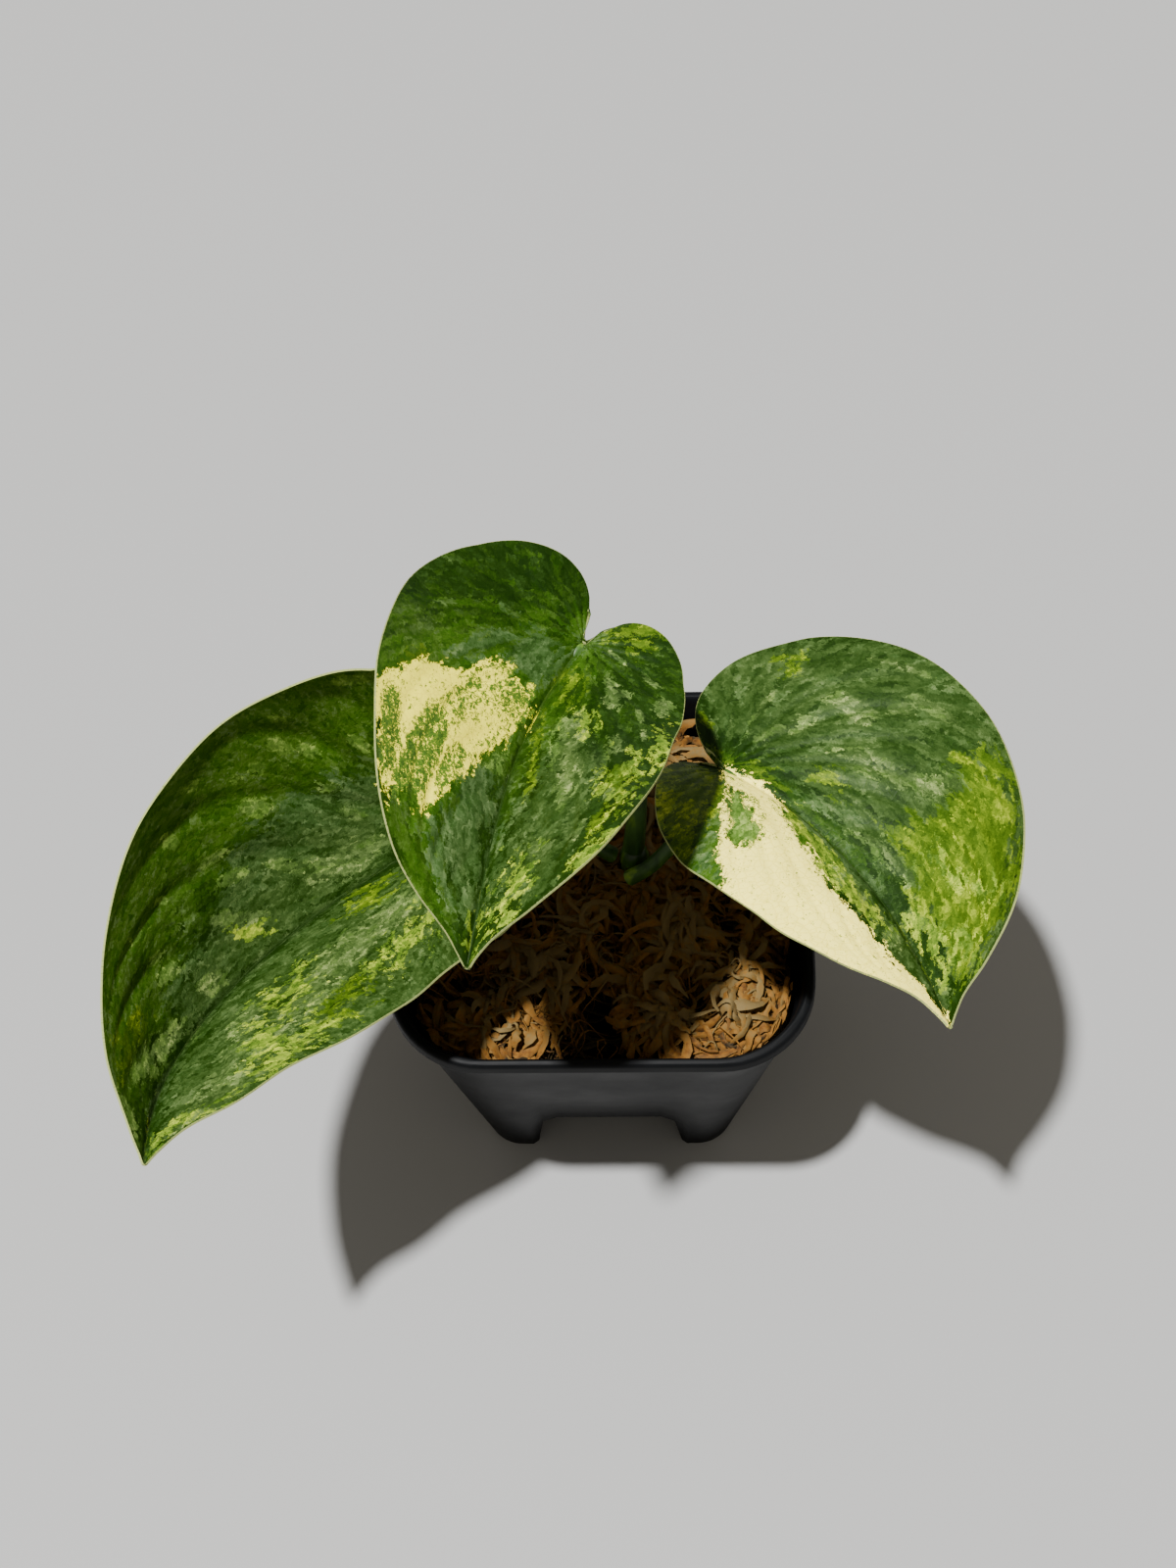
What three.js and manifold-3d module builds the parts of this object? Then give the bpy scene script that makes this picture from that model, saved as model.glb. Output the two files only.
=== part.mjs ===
// A young pothos with marbled heart-shaped leaves in a small square nursery pot.
// Six pieces: the pot, the bed of dried sphagnum moss in it, a short vine stem that stands in a
// hole in the moss, and three leaves, each one blade grown together with its own stalk.
// Millimetres, +Z up. The origin is on the surface that the pot stands on, in the middle of the whole
// plant's width and depth.
import * as THREE from "three";
import Module from "manifold-3d";

const wasm = await Module();
wasm.setup();

const DEG = Math.PI / 180;

// The gap that neighbouring pieces keep where they touch.
const SEAT = 0.3;

// The leaves hang out to the left and the front, so the pot's own middle is this far from the origin.
// All the sizes and places below are measured from the pot's middle.
const POT_PLACE = [4.1, 15.9];

const POT = {
  height: 70,
  rimHalf: 37.5,
  rimCorner: 17,
  lipOverhang: 0.6,
  lipHeight: 3,
  lipEdge: 0.4,
  footHalf: 24,
  footCorner: 7,
  wall: 0.9,
  cornerSteps: 8,
};

// Four hollow feet are left where two wide channels cross under the floor.
const FEET = {
  height: 13,
  gapHalfTop: 12.6,
  gapHalfBottom: 14,
  plate: 1.2,
  drainRadius: 2.5,
};

// Each side has a middle panel that sinks in towards the channel, so the feet stand proud of it.
const PANEL = {
  depth: 2.7,
  top: 48,
  innerHalf: 11,
  outerHalf: 15,
};

const MOSS = {
  edge: 57,
  level: 63.5,
  shoulder: 7,
  rings: 9,
  cornerSteps: 4,
  strands: 34,
  strandReach: 28,
  clearOfStem: 8,
  dimple: 3,
  seed: 5,
};

const STEM = {
  bottom: 38,
  top: 71.5,
  radius: 2.3,
  foot: [4.8, 2.9],
  head: [5.8, 4.1],
  sides: 12,
  nodeSwell: 0.35,
};

const BLADE = {
  thickness: 0.8,
  edgeBulge: 0.25,
  columns: 24,
  rows: [0, 0.14, 0.32, 0.52, 0.72, 0.88, 1],
};

// A blade is drawn flat first, with its stalk joint at zero and its midrib along x. Its edge is given
// from a point on the midrib, this share of the length from the joint, as a distance at each of the
// angles below, from the tip round to the joint, in shares of the length.
const HEART_CENTRE = 0.22;
const OUTLINE_ANGLES = [0, 5, 12, 22, 36, 54, 76, 100, 122, 141, 158, 170, 180];

// Where and how each blade is held. Angles are in degrees. Heading is the compass direction of the
// midrib at the joint, anticlockwise from +X, rise its slope and roll its lean about the midrib.
// Over the length the midrib droops by the sum of the two bend values and swings sideways by sweep.
// Fold is how steeply a half rises from the midrib, at the joint and at the tip, and camber how much
// it bends back down over half the blade's length. The left half is the one on the left hand when
// looking from the joint to the tip. Stalk points run from the stem to the joint.
const LEAVES = [
  {
    name: "leaf_left",
    joint: [-24.5, 3.9, 81.9],
    length: 96.8,
    heading: -152.3,
    rise: -10.7,
    roll: 18.5,
    bend: [-47.8, 7.9],
    lobeBend: 1.4,
    sweep: 71.8,
    left: { sign: 1, width: 0.79, fold: [13, 33], camber: [10, 19.5] },
    right: { sign: -1, width: 1.08, fold: [66, 39], camber: [-55, -46] },
    outline: [0.72, 0.68, 0.61, 0.56, 0.51, 0.465, 0.455, 0.465, 0.435, 0.375, 0.305],
    stalk: [[1.95, 3.9, 69.2], [-3, 4.4, 74], [-9.5, 4.7, 78.4], [-17, 4.7, 81]],
    stalkRadius: [1.5, 1.1],
  },
  {
    name: "leaf_middle",
    joint: [-1.6, 11.9, 128.6],
    length: 69.5,
    heading: -120.6,
    rise: 2.7,
    roll: -17,
    bend: [-103.4, 112.8],
    lobeBend: -15.8,
    sweep: 24.7,
    left: { sign: 1, width: 0.775, fold: [28, 55], camber: [3, 19.5] },
    right: { sign: -1, width: 0.995, fold: [22, 12.5], camber: [14, -21.5] },
    outline: [0.72, 0.68, 0.64, 0.57, 0.495, 0.445, 0.425, 0.41, 0.4, 0.375, 0.325],
    stalk: [[5.8, 4.1, 72.1], [6.4, 5.1, 81], [6.8, 7.6, 94], [5.6, 11.3, 110], [2.2, 13.6, 122]],
    stalkRadius: [2.05, 1.15],
  },
  {
    name: "leaf_right",
    joint: [21.3, 5.3, 98.2],
    length: 65,
    heading: -28.1,
    rise: 1.9,
    roll: -28.6,
    bend: [39.6, -31.2],
    lobeBend: -26.8,
    sweep: -52.5,
    left: { sign: 1, width: 1.095, fold: [23, 50], camber: [1.3, -64.5] },
    right: { sign: -1, width: 0.885, fold: [16, 12.5], camber: [31, 42.5] },
    outline: [0.71, 0.68, 0.65, 0.6, 0.535, 0.505, 0.51, 0.49, 0.44, 0.38, 0.31],
    stalk: [[4.9, -0.3, 68.3], [8.3, 0.1, 71.5], [12.5, 1.6, 77.2], [17, 3.9, 86], [20, 5.6, 94]],
    stalkRadius: [1.5, 1.05],
  },
];

const plastic = new THREE.MeshStandardMaterial({ color: 0x1b1c1e, roughness: 0.45, metalness: 0 });
const driedMoss = new THREE.MeshStandardMaterial({ color: 0x9a6a2c, roughness: 0.95, metalness: 0 });
const greenStem = new THREE.MeshStandardMaterial({ color: 0x3f5a26, roughness: 0.5, metalness: 0 });
const leafGreen = new THREE.MeshStandardMaterial({ color: 0x4a6b2a, roughness: 0.45, metalness: 0 });

const mix = (a, b, t) => a + (b - a) * t;

function smooth(from, to, value) {
  const t = Math.min(1, Math.max(0, (value - from) / (to - from)));
  return t * t * (3 - 2 * t);
}

// A repeatable sequence of numbers between 0 and 1.
function seededRandom(seed) {
  let state = seed;
  return () => {
    state = (state * 1664525 + 1013904223) % 4294967296;
    return state / 4294967296;
  };
}

// A closed solid from a list of points and a list of triangles that index them.
function solidFrom(points, triangles) {
  const vertProperties = new Float32Array(points.flatMap((p) => [p.x, p.y, p.z]));
  const triVerts = new Uint32Array(triangles.flat());
  return new wasm.Manifold(new wasm.Mesh({ numProp: 3, vertProperties, triVerts }));
}

function meshFrom(solid, name, material) {
  const { vertProperties, triVerts } = solid.getMesh();
  const geometry = new THREE.BufferGeometry();
  geometry.setAttribute("position", new THREE.BufferAttribute(vertProperties, 3));
  geometry.setIndex(new THREE.BufferAttribute(triVerts, 1));
  geometry.translate(POT_PLACE[0], POT_PLACE[1], 0);
  geometry.computeVertexNormals();
  const mesh = new THREE.Mesh(geometry, material);
  mesh.name = name;
  return mesh;
}

// A solid through rings of points, lowest first, each anticlockwise from above, closed at both ends.
function loft(rings) {
  const count = rings[0].length;
  const points = rings.flat();
  const triangles = [];
  for (let r = 0; r + 1 < rings.length; r += 1) {
    for (let i = 0; i < count; i += 1) {
      const a = r * count + i;
      const b = r * count + ((i + 1) % count);
      triangles.push([a, b, b + count], [a, b + count, a + count]);
    }
  }
  const middle = (ring) => ring.reduce((sum, p) => sum.add(p), new THREE.Vector3()).divideScalar(count);
  const low = points.push(middle(rings[0])) - 1;
  const high = points.push(middle(rings[rings.length - 1])) - 1;
  const last = (rings.length - 1) * count;
  for (let i = 0; i < count; i += 1) {
    const next = (i + 1) % count;
    triangles.push([low, next, i], [high, last + i, last + next]);
  }
  return solidFrom(points, triangles);
}

// A round tube along a smooth curve, with a radius for each of the points that it passes.
function taperedTube(places, radii, sides, steps) {
  const curve = new THREE.CatmullRomCurve3(places.map((p) => new THREE.Vector3(...p)));
  const frames = curve.computeFrenetFrames(steps, false);
  const rings = [];
  for (let s = 0; s <= steps; s += 1) {
    const along = curve.getUtoTmapping(s / steps) * (places.length - 1);
    const span = Math.min(places.length - 2, Math.floor(along));
    const radius = mix(radii[span], radii[span + 1], along - span);
    const centre = curve.getPointAt(s / steps);
    const ring = [];
    for (let i = 0; i < sides; i += 1) {
      const turn = (2 * Math.PI * i) / sides;
      const arm = frames.normals[s].clone().multiplyScalar(Math.cos(turn) * radius);
      arm.addScaledVector(frames.binormals[s], Math.sin(turn) * radius);
      ring.push(arm.add(centre));
    }
    rings.push(ring);
  }
  return loft(rings);
}

// Half the outside width of the wall, without its lip, at a height.
function wallHalf(z) {
  return mix(POT.footHalf, POT.rimHalf - POT.lipOverhang, z / POT.height);
}

// A square ring with round corners, sunk in along the middle of each side by the panel's depth.
function squareRing(z, inset, grow = 0, cornerSteps = POT.cornerSteps) {
  const half = wallHalf(z) - inset + grow;
  const corner = mix(POT.footCorner, POT.rimCorner, z / POT.height) - inset;
  const sunk = PANEL.depth * (1 - smooth(FEET.height, PANEL.top, z));
  const middle = (PANEL.innerHalf + PANEL.outerHalf) / 2;
  const stations = [-PANEL.outerHalf, -middle, -PANEL.innerHalf, 0, PANEL.innerHalf, middle, PANEL.outerHalf];
  const ring = [];
  for (let side = 0; side < 4; side += 1) {
    const turn = (side * Math.PI) / 2;
    const place = (x, y) => {
      const cos = Math.cos(turn);
      const sin = Math.sin(turn);
      ring.push(new THREE.Vector3(x * cos - y * sin, x * sin + y * cos, z));
    };
    for (const y of stations) {
      place(half - sunk * (1 - smooth(PANEL.innerHalf, PANEL.outerHalf, Math.abs(y))), y);
    }
    for (let i = 0; i <= cornerSteps; i += 1) {
      const bend = (i / cornerSteps) * (Math.PI / 2);
      place(half - corner + corner * Math.cos(bend), half - corner + corner * Math.sin(bend));
    }
  }
  return ring;
}

// The channel between the feet, along x or turned along y, with sides that lean and a flat roof.
function channel(turned, grow) {
  const reach = POT.rimHalf * 2;
  const drop = 5;
  const lean = (FEET.gapHalfBottom - FEET.gapHalfTop) / FEET.height;
  const bottomHalf = FEET.gapHalfBottom + lean * drop + grow;
  const topHalf = FEET.gapHalfTop + grow;
  const corners = [
    [-bottomHalf, -drop],
    [bottomHalf, -drop],
    [topHalf, FEET.height + grow],
    [-topHalf, FEET.height + grow],
  ];
  const shape = new THREE.Shape(corners.map(([x, y]) => new THREE.Vector2(x, y)));
  const bar = new THREE.ExtrudeGeometry(shape, { depth: reach, bevelEnabled: false });
  bar.translate(0, 0, -reach / 2);
  bar.rotateX(Math.PI / 2);
  if (turned) {
    bar.rotateZ(Math.PI / 2);
  }
  return solidOf(bar);
}

// A solid from one of the library's own shapes, with points that share a place joined.
function solidOf(geometry) {
  const plain = geometry.index ? geometry.toNonIndexed() : geometry;
  const position = plain.getAttribute("position");
  const points = [];
  const seen = new Map();
  const corners = [];
  for (let i = 0; i < position.count; i += 1) {
    const point = new THREE.Vector3().fromBufferAttribute(position, i);
    const key = point.toArray().map((v) => Math.round(v * 1e4)).join(",");
    if (!seen.has(key)) {
      seen.set(key, points.push(point) - 1);
    }
    corners.push(seen.get(key));
  }
  const triangles = [];
  for (let i = 0; i < corners.length; i += 3) {
    const [a, b, c] = corners.slice(i, i + 3);
    if (a !== b && b !== c && c !== a) {
      triangles.push([a, b, c]);
    }
  }
  return solidFrom(points, triangles);
}

function drainHole(x, y) {
  const bar = new THREE.CylinderGeometry(FEET.drainRadius, FEET.drainRadius, FEET.height * 3, 12);
  bar.rotateX(Math.PI / 2);
  bar.translate(x, y, 0);
  return solidOf(bar);
}

function makePot() {
  const wallHeights = [0, FEET.height, 20, 27, 34, 41, PANEL.top, POT.height - POT.lipHeight];
  const outerRings = wallHeights.map((z) => squareRing(z, 0));
  const lipGrow = (z) => POT.rimHalf - wallHalf(z);
  const lipBottom = POT.height - POT.lipHeight + POT.lipEdge;
  const lipTop = POT.height - POT.lipEdge;
  outerRings.push(squareRing(lipBottom, 0, lipGrow(lipBottom)));
  outerRings.push(squareRing(lipTop, 0, lipGrow(lipTop)));
  outerRings.push(squareRing(POT.height, 0, lipGrow(POT.height) - POT.lipEdge));
  const innerHeights = [FEET.plate, FEET.height, 20, 27, 34, 41, PANEL.top, POT.height + 1];
  const hollow = loft(innerHeights.map((z) => squareRing(z, POT.wall)));
  const floor = channel(false, FEET.plate).add(channel(true, FEET.plate));
  let pot = loft(outerRings).subtract(hollow.subtract(floor));
  pot = pot.subtract(channel(false, 0)).subtract(channel(true, 0));
  const wellMiddle = (FEET.gapHalfBottom + FEET.plate + POT.footHalf - POT.wall) / 2;
  const drains = [[0, 0]];
  for (const x of [-wellMiddle, wellMiddle]) {
    for (const y of [-wellMiddle, wellMiddle]) {
      drains.push([x, y]);
    }
  }
  for (const [x, y] of drains) {
    pot = pot.subtract(drainHole(x, y));
  }
  return meshFrom(pot, "pot", plastic);
}

// The lumpy top of the moss: a low mound in the middle, soft hummocks, and a dip round the stem.
function mossTop(x, y, share) {
  const hummocks = 0.9 * Math.sin(x / 5.3 + 1.1) * Math.cos(y / 6.1) + 0.7 * Math.sin((x + y) / 4.1);
  const mound = 1.6 * (1 - share * share);
  const away = Math.hypot(x - STEM.head[0], y - STEM.head[1]);
  return MOSS.level + mound + hummocks - MOSS.dimple * (1 - smooth(4, 4 + MOSS.clearOfStem, away));
}

function mossBody() {
  const inset = POT.wall + SEAT;
  const heights = [FEET.height + FEET.plate + SEAT, 20, 27, 34, 41, PANEL.top, MOSS.edge];
  const rings = heights.map((z) => squareRing(z, inset, 0, MOSS.cornerSteps));
  const edge = rings[rings.length - 1];
  const span = wallHalf(MOSS.edge) - inset;
  for (let r = 1; r < MOSS.rings; r += 1) {
    const share = 1 - r / MOSS.rings;
    rings.push(edge.map((p) => {
      const x = p.x * share;
      const y = p.y * share;
      const rise = smooth(0, MOSS.shoulder, (1 - share) * span);
      return new THREE.Vector3(x, y, mix(MOSS.edge, mossTop(x, y, share), rise));
    }));
  }
  return loft(rings);
}

// One curled strand of moss that lies half sunk in the bed.
function mossStrand(random) {
  let x = 0;
  let y = 0;
  do {
    x = mix(-MOSS.strandReach, MOSS.strandReach, random());
    y = mix(-MOSS.strandReach, MOSS.strandReach, random());
  } while (Math.hypot(x - STEM.head[0], y - STEM.head[1]) < MOSS.clearOfStem);
  let turn = random() * 2 * Math.PI;
  const curl = mix(-0.5, 0.5, random());
  const lift = mix(0.6, 1.8, random());
  const step = mix(2.2, 3.2, random());
  const places = [];
  for (let i = 0; i < 5; i += 1) {
    const away = Math.hypot(x - STEM.head[0], y - STEM.head[1]);
    const held = THREE.MathUtils.clamp(away / MOSS.clearOfStem, 0, 1);
    const inX = THREE.MathUtils.clamp(x, -MOSS.strandReach, MOSS.strandReach);
    const inY = THREE.MathUtils.clamp(y, -MOSS.strandReach, MOSS.strandReach);
    const share = Math.max(Math.abs(inX), Math.abs(inY)) / (MOSS.strandReach + 4);
    const ground = mossTop(inX, inY, share) - 0.7;
    places.push([inX, inY, ground + lift * Math.sin((Math.PI * (i + 0.4)) / 4.8) * held]);
    turn += curl;
    x += Math.cos(turn) * step;
    y += Math.sin(turn) * step;
  }
  const radius = mix(0.9, 1.35, random());
  return taperedTube(places, [0.6, 1, 1, 0.9, 0.5].map((k) => k * radius), 4, 5);
}

// The bed and its strands as one solid, without any bubble that the strands close off.
function makeMoss() {
  const random = seededRandom(MOSS.seed);
  let bed = mossBody();
  for (let i = 0; i < MOSS.strands; i += 1) {
    bed = bed.add(mossStrand(random));
  }
  const shells = bed.subtract(stemSolid(SEAT)).decompose();
  const outside = shells.reduce((most, shell) => (shell.volume() > most.volume() ? shell : most));
  return meshFrom(outside, "moss_bed", driedMoss);
}

// The stem leans a little, with swollen rings at its two leaf nodes. Grown by the gap, and carried on
// upwards, it is also the hole that it stands in.
function stemSolid(grow) {
  const top = grow > 0 ? POT.height + 10 : STEM.top;
  const nodes = [58, 68.5];
  const heights = [STEM.bottom - grow, 50, nodes[0] - 1.5, nodes[0], nodes[0] + 1.5];
  heights.push(nodes[1] - 1.5, nodes[1], nodes[1] + 1.5, top);
  return loft(heights.map((z) => {
    const along = (z - STEM.bottom) / (STEM.top - STEM.bottom);
    const swell = nodes.includes(z) || grow > 0 ? STEM.nodeSwell : 0;
    const radius = STEM.radius + swell + grow;
    const ring = [];
    for (let i = 0; i < STEM.sides; i += 1) {
      const turn = (2 * Math.PI * i) / STEM.sides;
      const x = mix(STEM.foot[0], STEM.head[0], along) + radius * Math.cos(turn);
      const y = mix(STEM.foot[1], STEM.head[1], along) + radius * Math.sin(turn);
      ring.push(new THREE.Vector3(x, y, z));
    }
    return ring;
  }));
}

// A smooth line through the outline's distances, read at an angle in degrees.
function outlineDistance(leaf, half, angle) {
  const angles = OUTLINE_ANGLES;
  const reach = [1 - HEART_CENTRE, ...leaf.outline, HEART_CENTRE].map(
    (r, i) => r * (1 + (half.width - 1) * Math.sin(angles[i] * DEG) ** 2),
  );
  const last = angles.length - 1;
  const slope = (i) => {
    if (i === last) {
      return 0;
    }
    const from = Math.max(0, i - 1);
    return (reach[i + 1] - reach[from]) / (angles[i + 1] - angles[from]);
  };
  let k = 0;
  while (k < last - 1 && angle > angles[k + 1]) {
    k += 1;
  }
  const width = angles[k + 1] - angles[k];
  const t = (angle - angles[k]) / width;
  const start = (2 * t ** 3 - 3 * t ** 2 + 1) * reach[k] + (t ** 3 - 2 * t ** 2 + t) * width * slope(k);
  const end = (3 * t ** 2 - 2 * t ** 3) * reach[k + 1] + (t ** 3 - t ** 2) * width * slope(k + 1);
  return start + end;
}

// The place and the directions of the midrib, a distance x from the joint. Below zero it runs back
// between the two lobes.
function midrib(leaf, x) {
  const heading = leaf.heading * DEG;
  const rise = leaf.rise * DEG;
  const roll = leaf.roll * DEG;
  const level = new THREE.Vector3(-Math.sin(heading), Math.cos(heading), 0);
  const start = new THREE.Vector3(Math.cos(heading), Math.sin(heading), 0).multiplyScalar(Math.cos(rise));
  start.z = Math.sin(rise);
  const upright = start.clone().cross(level);
  const across0 = level.clone().multiplyScalar(Math.cos(roll)).addScaledVector(upright, Math.sin(roll));
  const up0 = upright.clone().multiplyScalar(Math.cos(roll)).addScaledVector(level, -Math.sin(roll));
  const frameAt = (s) => {
    const share = s / leaf.length;
    const droop = (share > 0 ? leaf.bend[0] * share + leaf.bend[1] * share ** 2 : leaf.lobeBend * share) * DEG;
    const swing = leaf.sweep * share * DEG;
    const forward = start.clone().multiplyScalar(Math.cos(droop)).addScaledVector(up0, -Math.sin(droop));
    return {
      along: forward.clone().multiplyScalar(Math.cos(swing)).addScaledVector(across0, Math.sin(swing)),
      across: across0.clone().multiplyScalar(Math.cos(swing)).addScaledVector(forward, -Math.sin(swing)),
      up: up0.clone().multiplyScalar(Math.cos(droop)).addScaledVector(start, Math.sin(droop)),
    };
  };
  const steps = 32;
  const place = new THREE.Vector3(...leaf.joint);
  for (let i = 0; i < steps; i += 1) {
    place.addScaledVector(frameAt((x * (i + 0.5)) / steps).along, x / steps);
  }
  return { place, ...frameAt(x) };
}

// The point of the blade's upper face that is x along the midrib and y out on one half when flat.
function bladePoint(leaf, half, x, y) {
  const { place, across, up } = midrib(leaf, x);
  const share = x / leaf.length;
  const slope = mix(half.fold[0], half.fold[1], share) * DEG;
  const curl = (mix(half.camber[0], half.camber[1], share) * DEG) / (leaf.length / 2) + 1e-9;
  const run = (Math.sin(slope) - Math.sin(slope - curl * y)) / curl;
  const rise = (Math.cos(slope - curl * y) - Math.cos(slope)) / curl;
  return place.addScaledVector(across, half.sign * run).addScaledVector(up, rise);
}

// The blade as a thin solid. Each half is a fan of lines from the midrib to the edge, alike on both
// faces, and the two faces meet in a slightly rounded edge.
function bladeSolid(leaf) {
  const last = BLADE.columns;
  const rows = BLADE.rows;
  const points = [bladePoint(leaf, leaf.left, 0, 0), bladePoint(leaf, leaf.left, leaf.length, 0)];
  const ribs = [];
  for (let i = 1; i < last; i += 1) {
    ribs.push(points.push(bladePoint(leaf, leaf.left, leaf.length * (i / last) ** 1.6, 0)) - 1);
  }
  const top = [];
  const grid = (half) => {
    const lines = [rows.map(() => 0)];
    for (let i = 1; i < last; i += 1) {
      const angle = 180 * (1 - i / last) ** 1.5;
      const distance = outlineDistance(leaf, half, angle) * leaf.length;
      const root = leaf.length * (i / last) ** 1.6;
      const edgeX = HEART_CENTRE * leaf.length + distance * Math.cos(angle * DEG);
      const edgeY = distance * Math.sin(angle * DEG);
      lines.push(rows.map((v) => {
        if (v === 0) {
          return ribs[i - 1];
        }
        return points.push(bladePoint(leaf, half, mix(root, edgeX, v), edgeY * v)) - 1;
      }));
    }
    lines.push(rows.map(() => 1));
    for (let i = 0; i < last; i += 1) {
      for (let j = 0; j + 1 < rows.length; j += 1) {
        const corners = [lines[i][j], lines[i + 1][j], lines[i + 1][j + 1], lines[i][j + 1]];
        const ordered = half.sign > 0 ? corners : corners.reverse();
        top.push([ordered[0], ordered[1], ordered[2]], [ordered[0], ordered[2], ordered[3]]);
      }
    }
    return lines;
  };
  const left = grid(leaf.left);
  const right = grid(leaf.right);
  const faces = top.filter(([a, b, c]) => a !== b && b !== c && c !== a);
  const normals = points.map(() => new THREE.Vector3());
  for (const [a, b, c] of faces) {
    const edge = points[b].clone().sub(points[a]);
    const normal = edge.cross(points[c].clone().sub(points[a]));
    for (const k of [a, b, c]) {
      normals[k].add(normal);
    }
  }
  const count = points.length;
  for (let k = 0; k < count; k += 1) {
    points.push(points[k].clone().addScaledVector(normals[k].normalize(), -BLADE.thickness));
  }
  const triangles = [...faces, ...faces.map(([a, b, c]) => [c + count, b + count, a + count])];
  const rim = rows.length - 1;
  const loop = [[0, midrib(leaf, 0).along.negate()]];
  const outward = (line) => points[line[rim]].clone().sub(points[line[rim - 1]]).normalize();
  for (let i = last - 1; i > 0; i -= 1) {
    loop.push([right[last - i][rim], outward(right[last - i])]);
  }
  loop.push([1, midrib(leaf, leaf.length).along]);
  for (let i = last - 1; i > 0; i -= 1) {
    loop.push([left[i][rim], outward(left[i])]);
  }
  const edge = loop.map(([k, out]) => {
    const middle = points[k].clone().add(points[k + count]).multiplyScalar(0.5);
    return points.push(middle.addScaledVector(out, BLADE.edgeBulge)) - 1;
  });
  loop.forEach(([k], i) => {
    const next = (i + 1) % loop.length;
    const ahead = loop[next][0];
    triangles.push([edge[i], edge[next], ahead], [edge[i], ahead, k]);
    triangles.push([k + count, ahead + count, edge[next]], [k + count, edge[next], edge[i]]);
  });
  return solidFrom(points, triangles);
}

// The stalk, which carries on under the blade as its raised midrib and thins out towards the tip.
function stalkSolid(leaf) {
  const [base, end] = leaf.stalkRadius;
  const places = [...leaf.stalk];
  const radii = places.map((p, i) => mix(base, end, i / places.length));
  const ribs = [[0.01, end, 0.5], [0.09, 0.8, 0.8], [0.3, 0.65, 0.8], [0.55, 0.55, 0.8], [0.8, 0.45, 0.7]];
  for (const [share, radius, depth] of ribs) {
    const { place, up } = midrib(leaf, share * leaf.length);
    places.push(place.addScaledVector(up, -depth).toArray());
    radii.push(radius);
  }
  return taperedTube(places, radii, 8, places.length * 2);
}

function makeLeaf(leaf) {
  return meshFrom(bladeSolid(leaf).add(stalkSolid(leaf)), leaf.name, leafGreen);
}

const plant = new THREE.Group();
plant.add(makePot());
plant.add(makeMoss());
plant.add(meshFrom(stemSolid(0), "stem", greenStem));
for (const leaf of LEAVES) {
  plant.add(makeLeaf(leaf));
}

export default plant;
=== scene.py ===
import math
from functools import cache

import bpy
import numpy as np
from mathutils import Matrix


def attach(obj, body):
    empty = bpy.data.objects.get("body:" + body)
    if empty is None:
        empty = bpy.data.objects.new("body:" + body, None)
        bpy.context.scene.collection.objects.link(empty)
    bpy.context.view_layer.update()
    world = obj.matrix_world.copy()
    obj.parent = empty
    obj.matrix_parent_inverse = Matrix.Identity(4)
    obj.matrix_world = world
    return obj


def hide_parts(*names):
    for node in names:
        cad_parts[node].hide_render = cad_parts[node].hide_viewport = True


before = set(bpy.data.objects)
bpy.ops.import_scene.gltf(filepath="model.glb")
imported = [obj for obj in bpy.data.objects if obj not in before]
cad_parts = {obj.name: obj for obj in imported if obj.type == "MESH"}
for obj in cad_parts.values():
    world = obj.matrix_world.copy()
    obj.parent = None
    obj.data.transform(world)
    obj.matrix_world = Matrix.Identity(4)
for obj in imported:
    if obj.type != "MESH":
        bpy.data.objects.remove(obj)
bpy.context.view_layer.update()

# A young pothos with marbled heart-shaped leaves, in a small square nursery pot of dried moss.
# Sizes below are in millimetres from the middle of the pot, and SCALE and POT_PLACE bring them to
# the part's own frame, in metres.
SCALE = 0.001
POT_PLACE = np.array([4.1, 15.9, 0.0])


def placed(points):
    """Points in millimetres from the pot's middle, as metres in the part's frame."""
    return (np.asarray(points, float) + POT_PLACE) * SCALE


# Camera, floor and light
CAMERA_PLACE = (12.5, -230.6, 524.9)
CAMERA_YAW = -3.47
CAMERA_PITCH = 61.3
CAMERA_ROLL = -3.54
CAMERA_LENS = 65.63
SUN_TRAVEL = (0.199, 0.123, -1.0)
# The sun's place, in metres, doesn't change its light.
SUN_PLACE = (-0.4, -0.3, 1.2)
SUN_STRENGTH = 10
SUN_SPREAD = 2.5
FLOOR_SIZE = 6
# The surround is dimmer at the horizon than overhead.
HORIZON_STRENGTH = 0.28
SKY_STRENGTH = 0.62


def stand(thing, right, up, back, place):
    """Places a camera or a light, in metres, by the directions of its own axes."""
    turn = np.identity(4)
    turn[:3, 0], turn[:3, 1], turn[:3, 2], turn[:3, 3] = right, up, back, place
    thing.matrix_world = turn.T.tolist()


def make_camera():
    """The camera stands in front of the pot and looks steeply down on it."""
    yaw, pitch, roll = (math.radians(a) for a in (CAMERA_YAW, CAMERA_PITCH, CAMERA_ROLL))
    forward = np.array([math.sin(yaw) * math.cos(pitch), math.cos(yaw) * math.cos(pitch), -math.sin(pitch)])
    level = np.array([math.cos(yaw), -math.sin(yaw), 0.0])
    upright = np.cross(level, forward)
    right = math.cos(roll) * level + math.sin(roll) * upright
    up = math.cos(roll) * upright - math.sin(roll) * level
    bpy.ops.object.camera_add()
    camera = bpy.context.object
    stand(camera, right, up, -forward, placed(CAMERA_PLACE))
    camera.data.sensor_fit = "VERTICAL"
    camera.data.sensor_height = 36
    camera.data.lens = CAMERA_LENS
    camera.data.clip_start = 0.01
    bpy.context.scene.camera = camera


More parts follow.
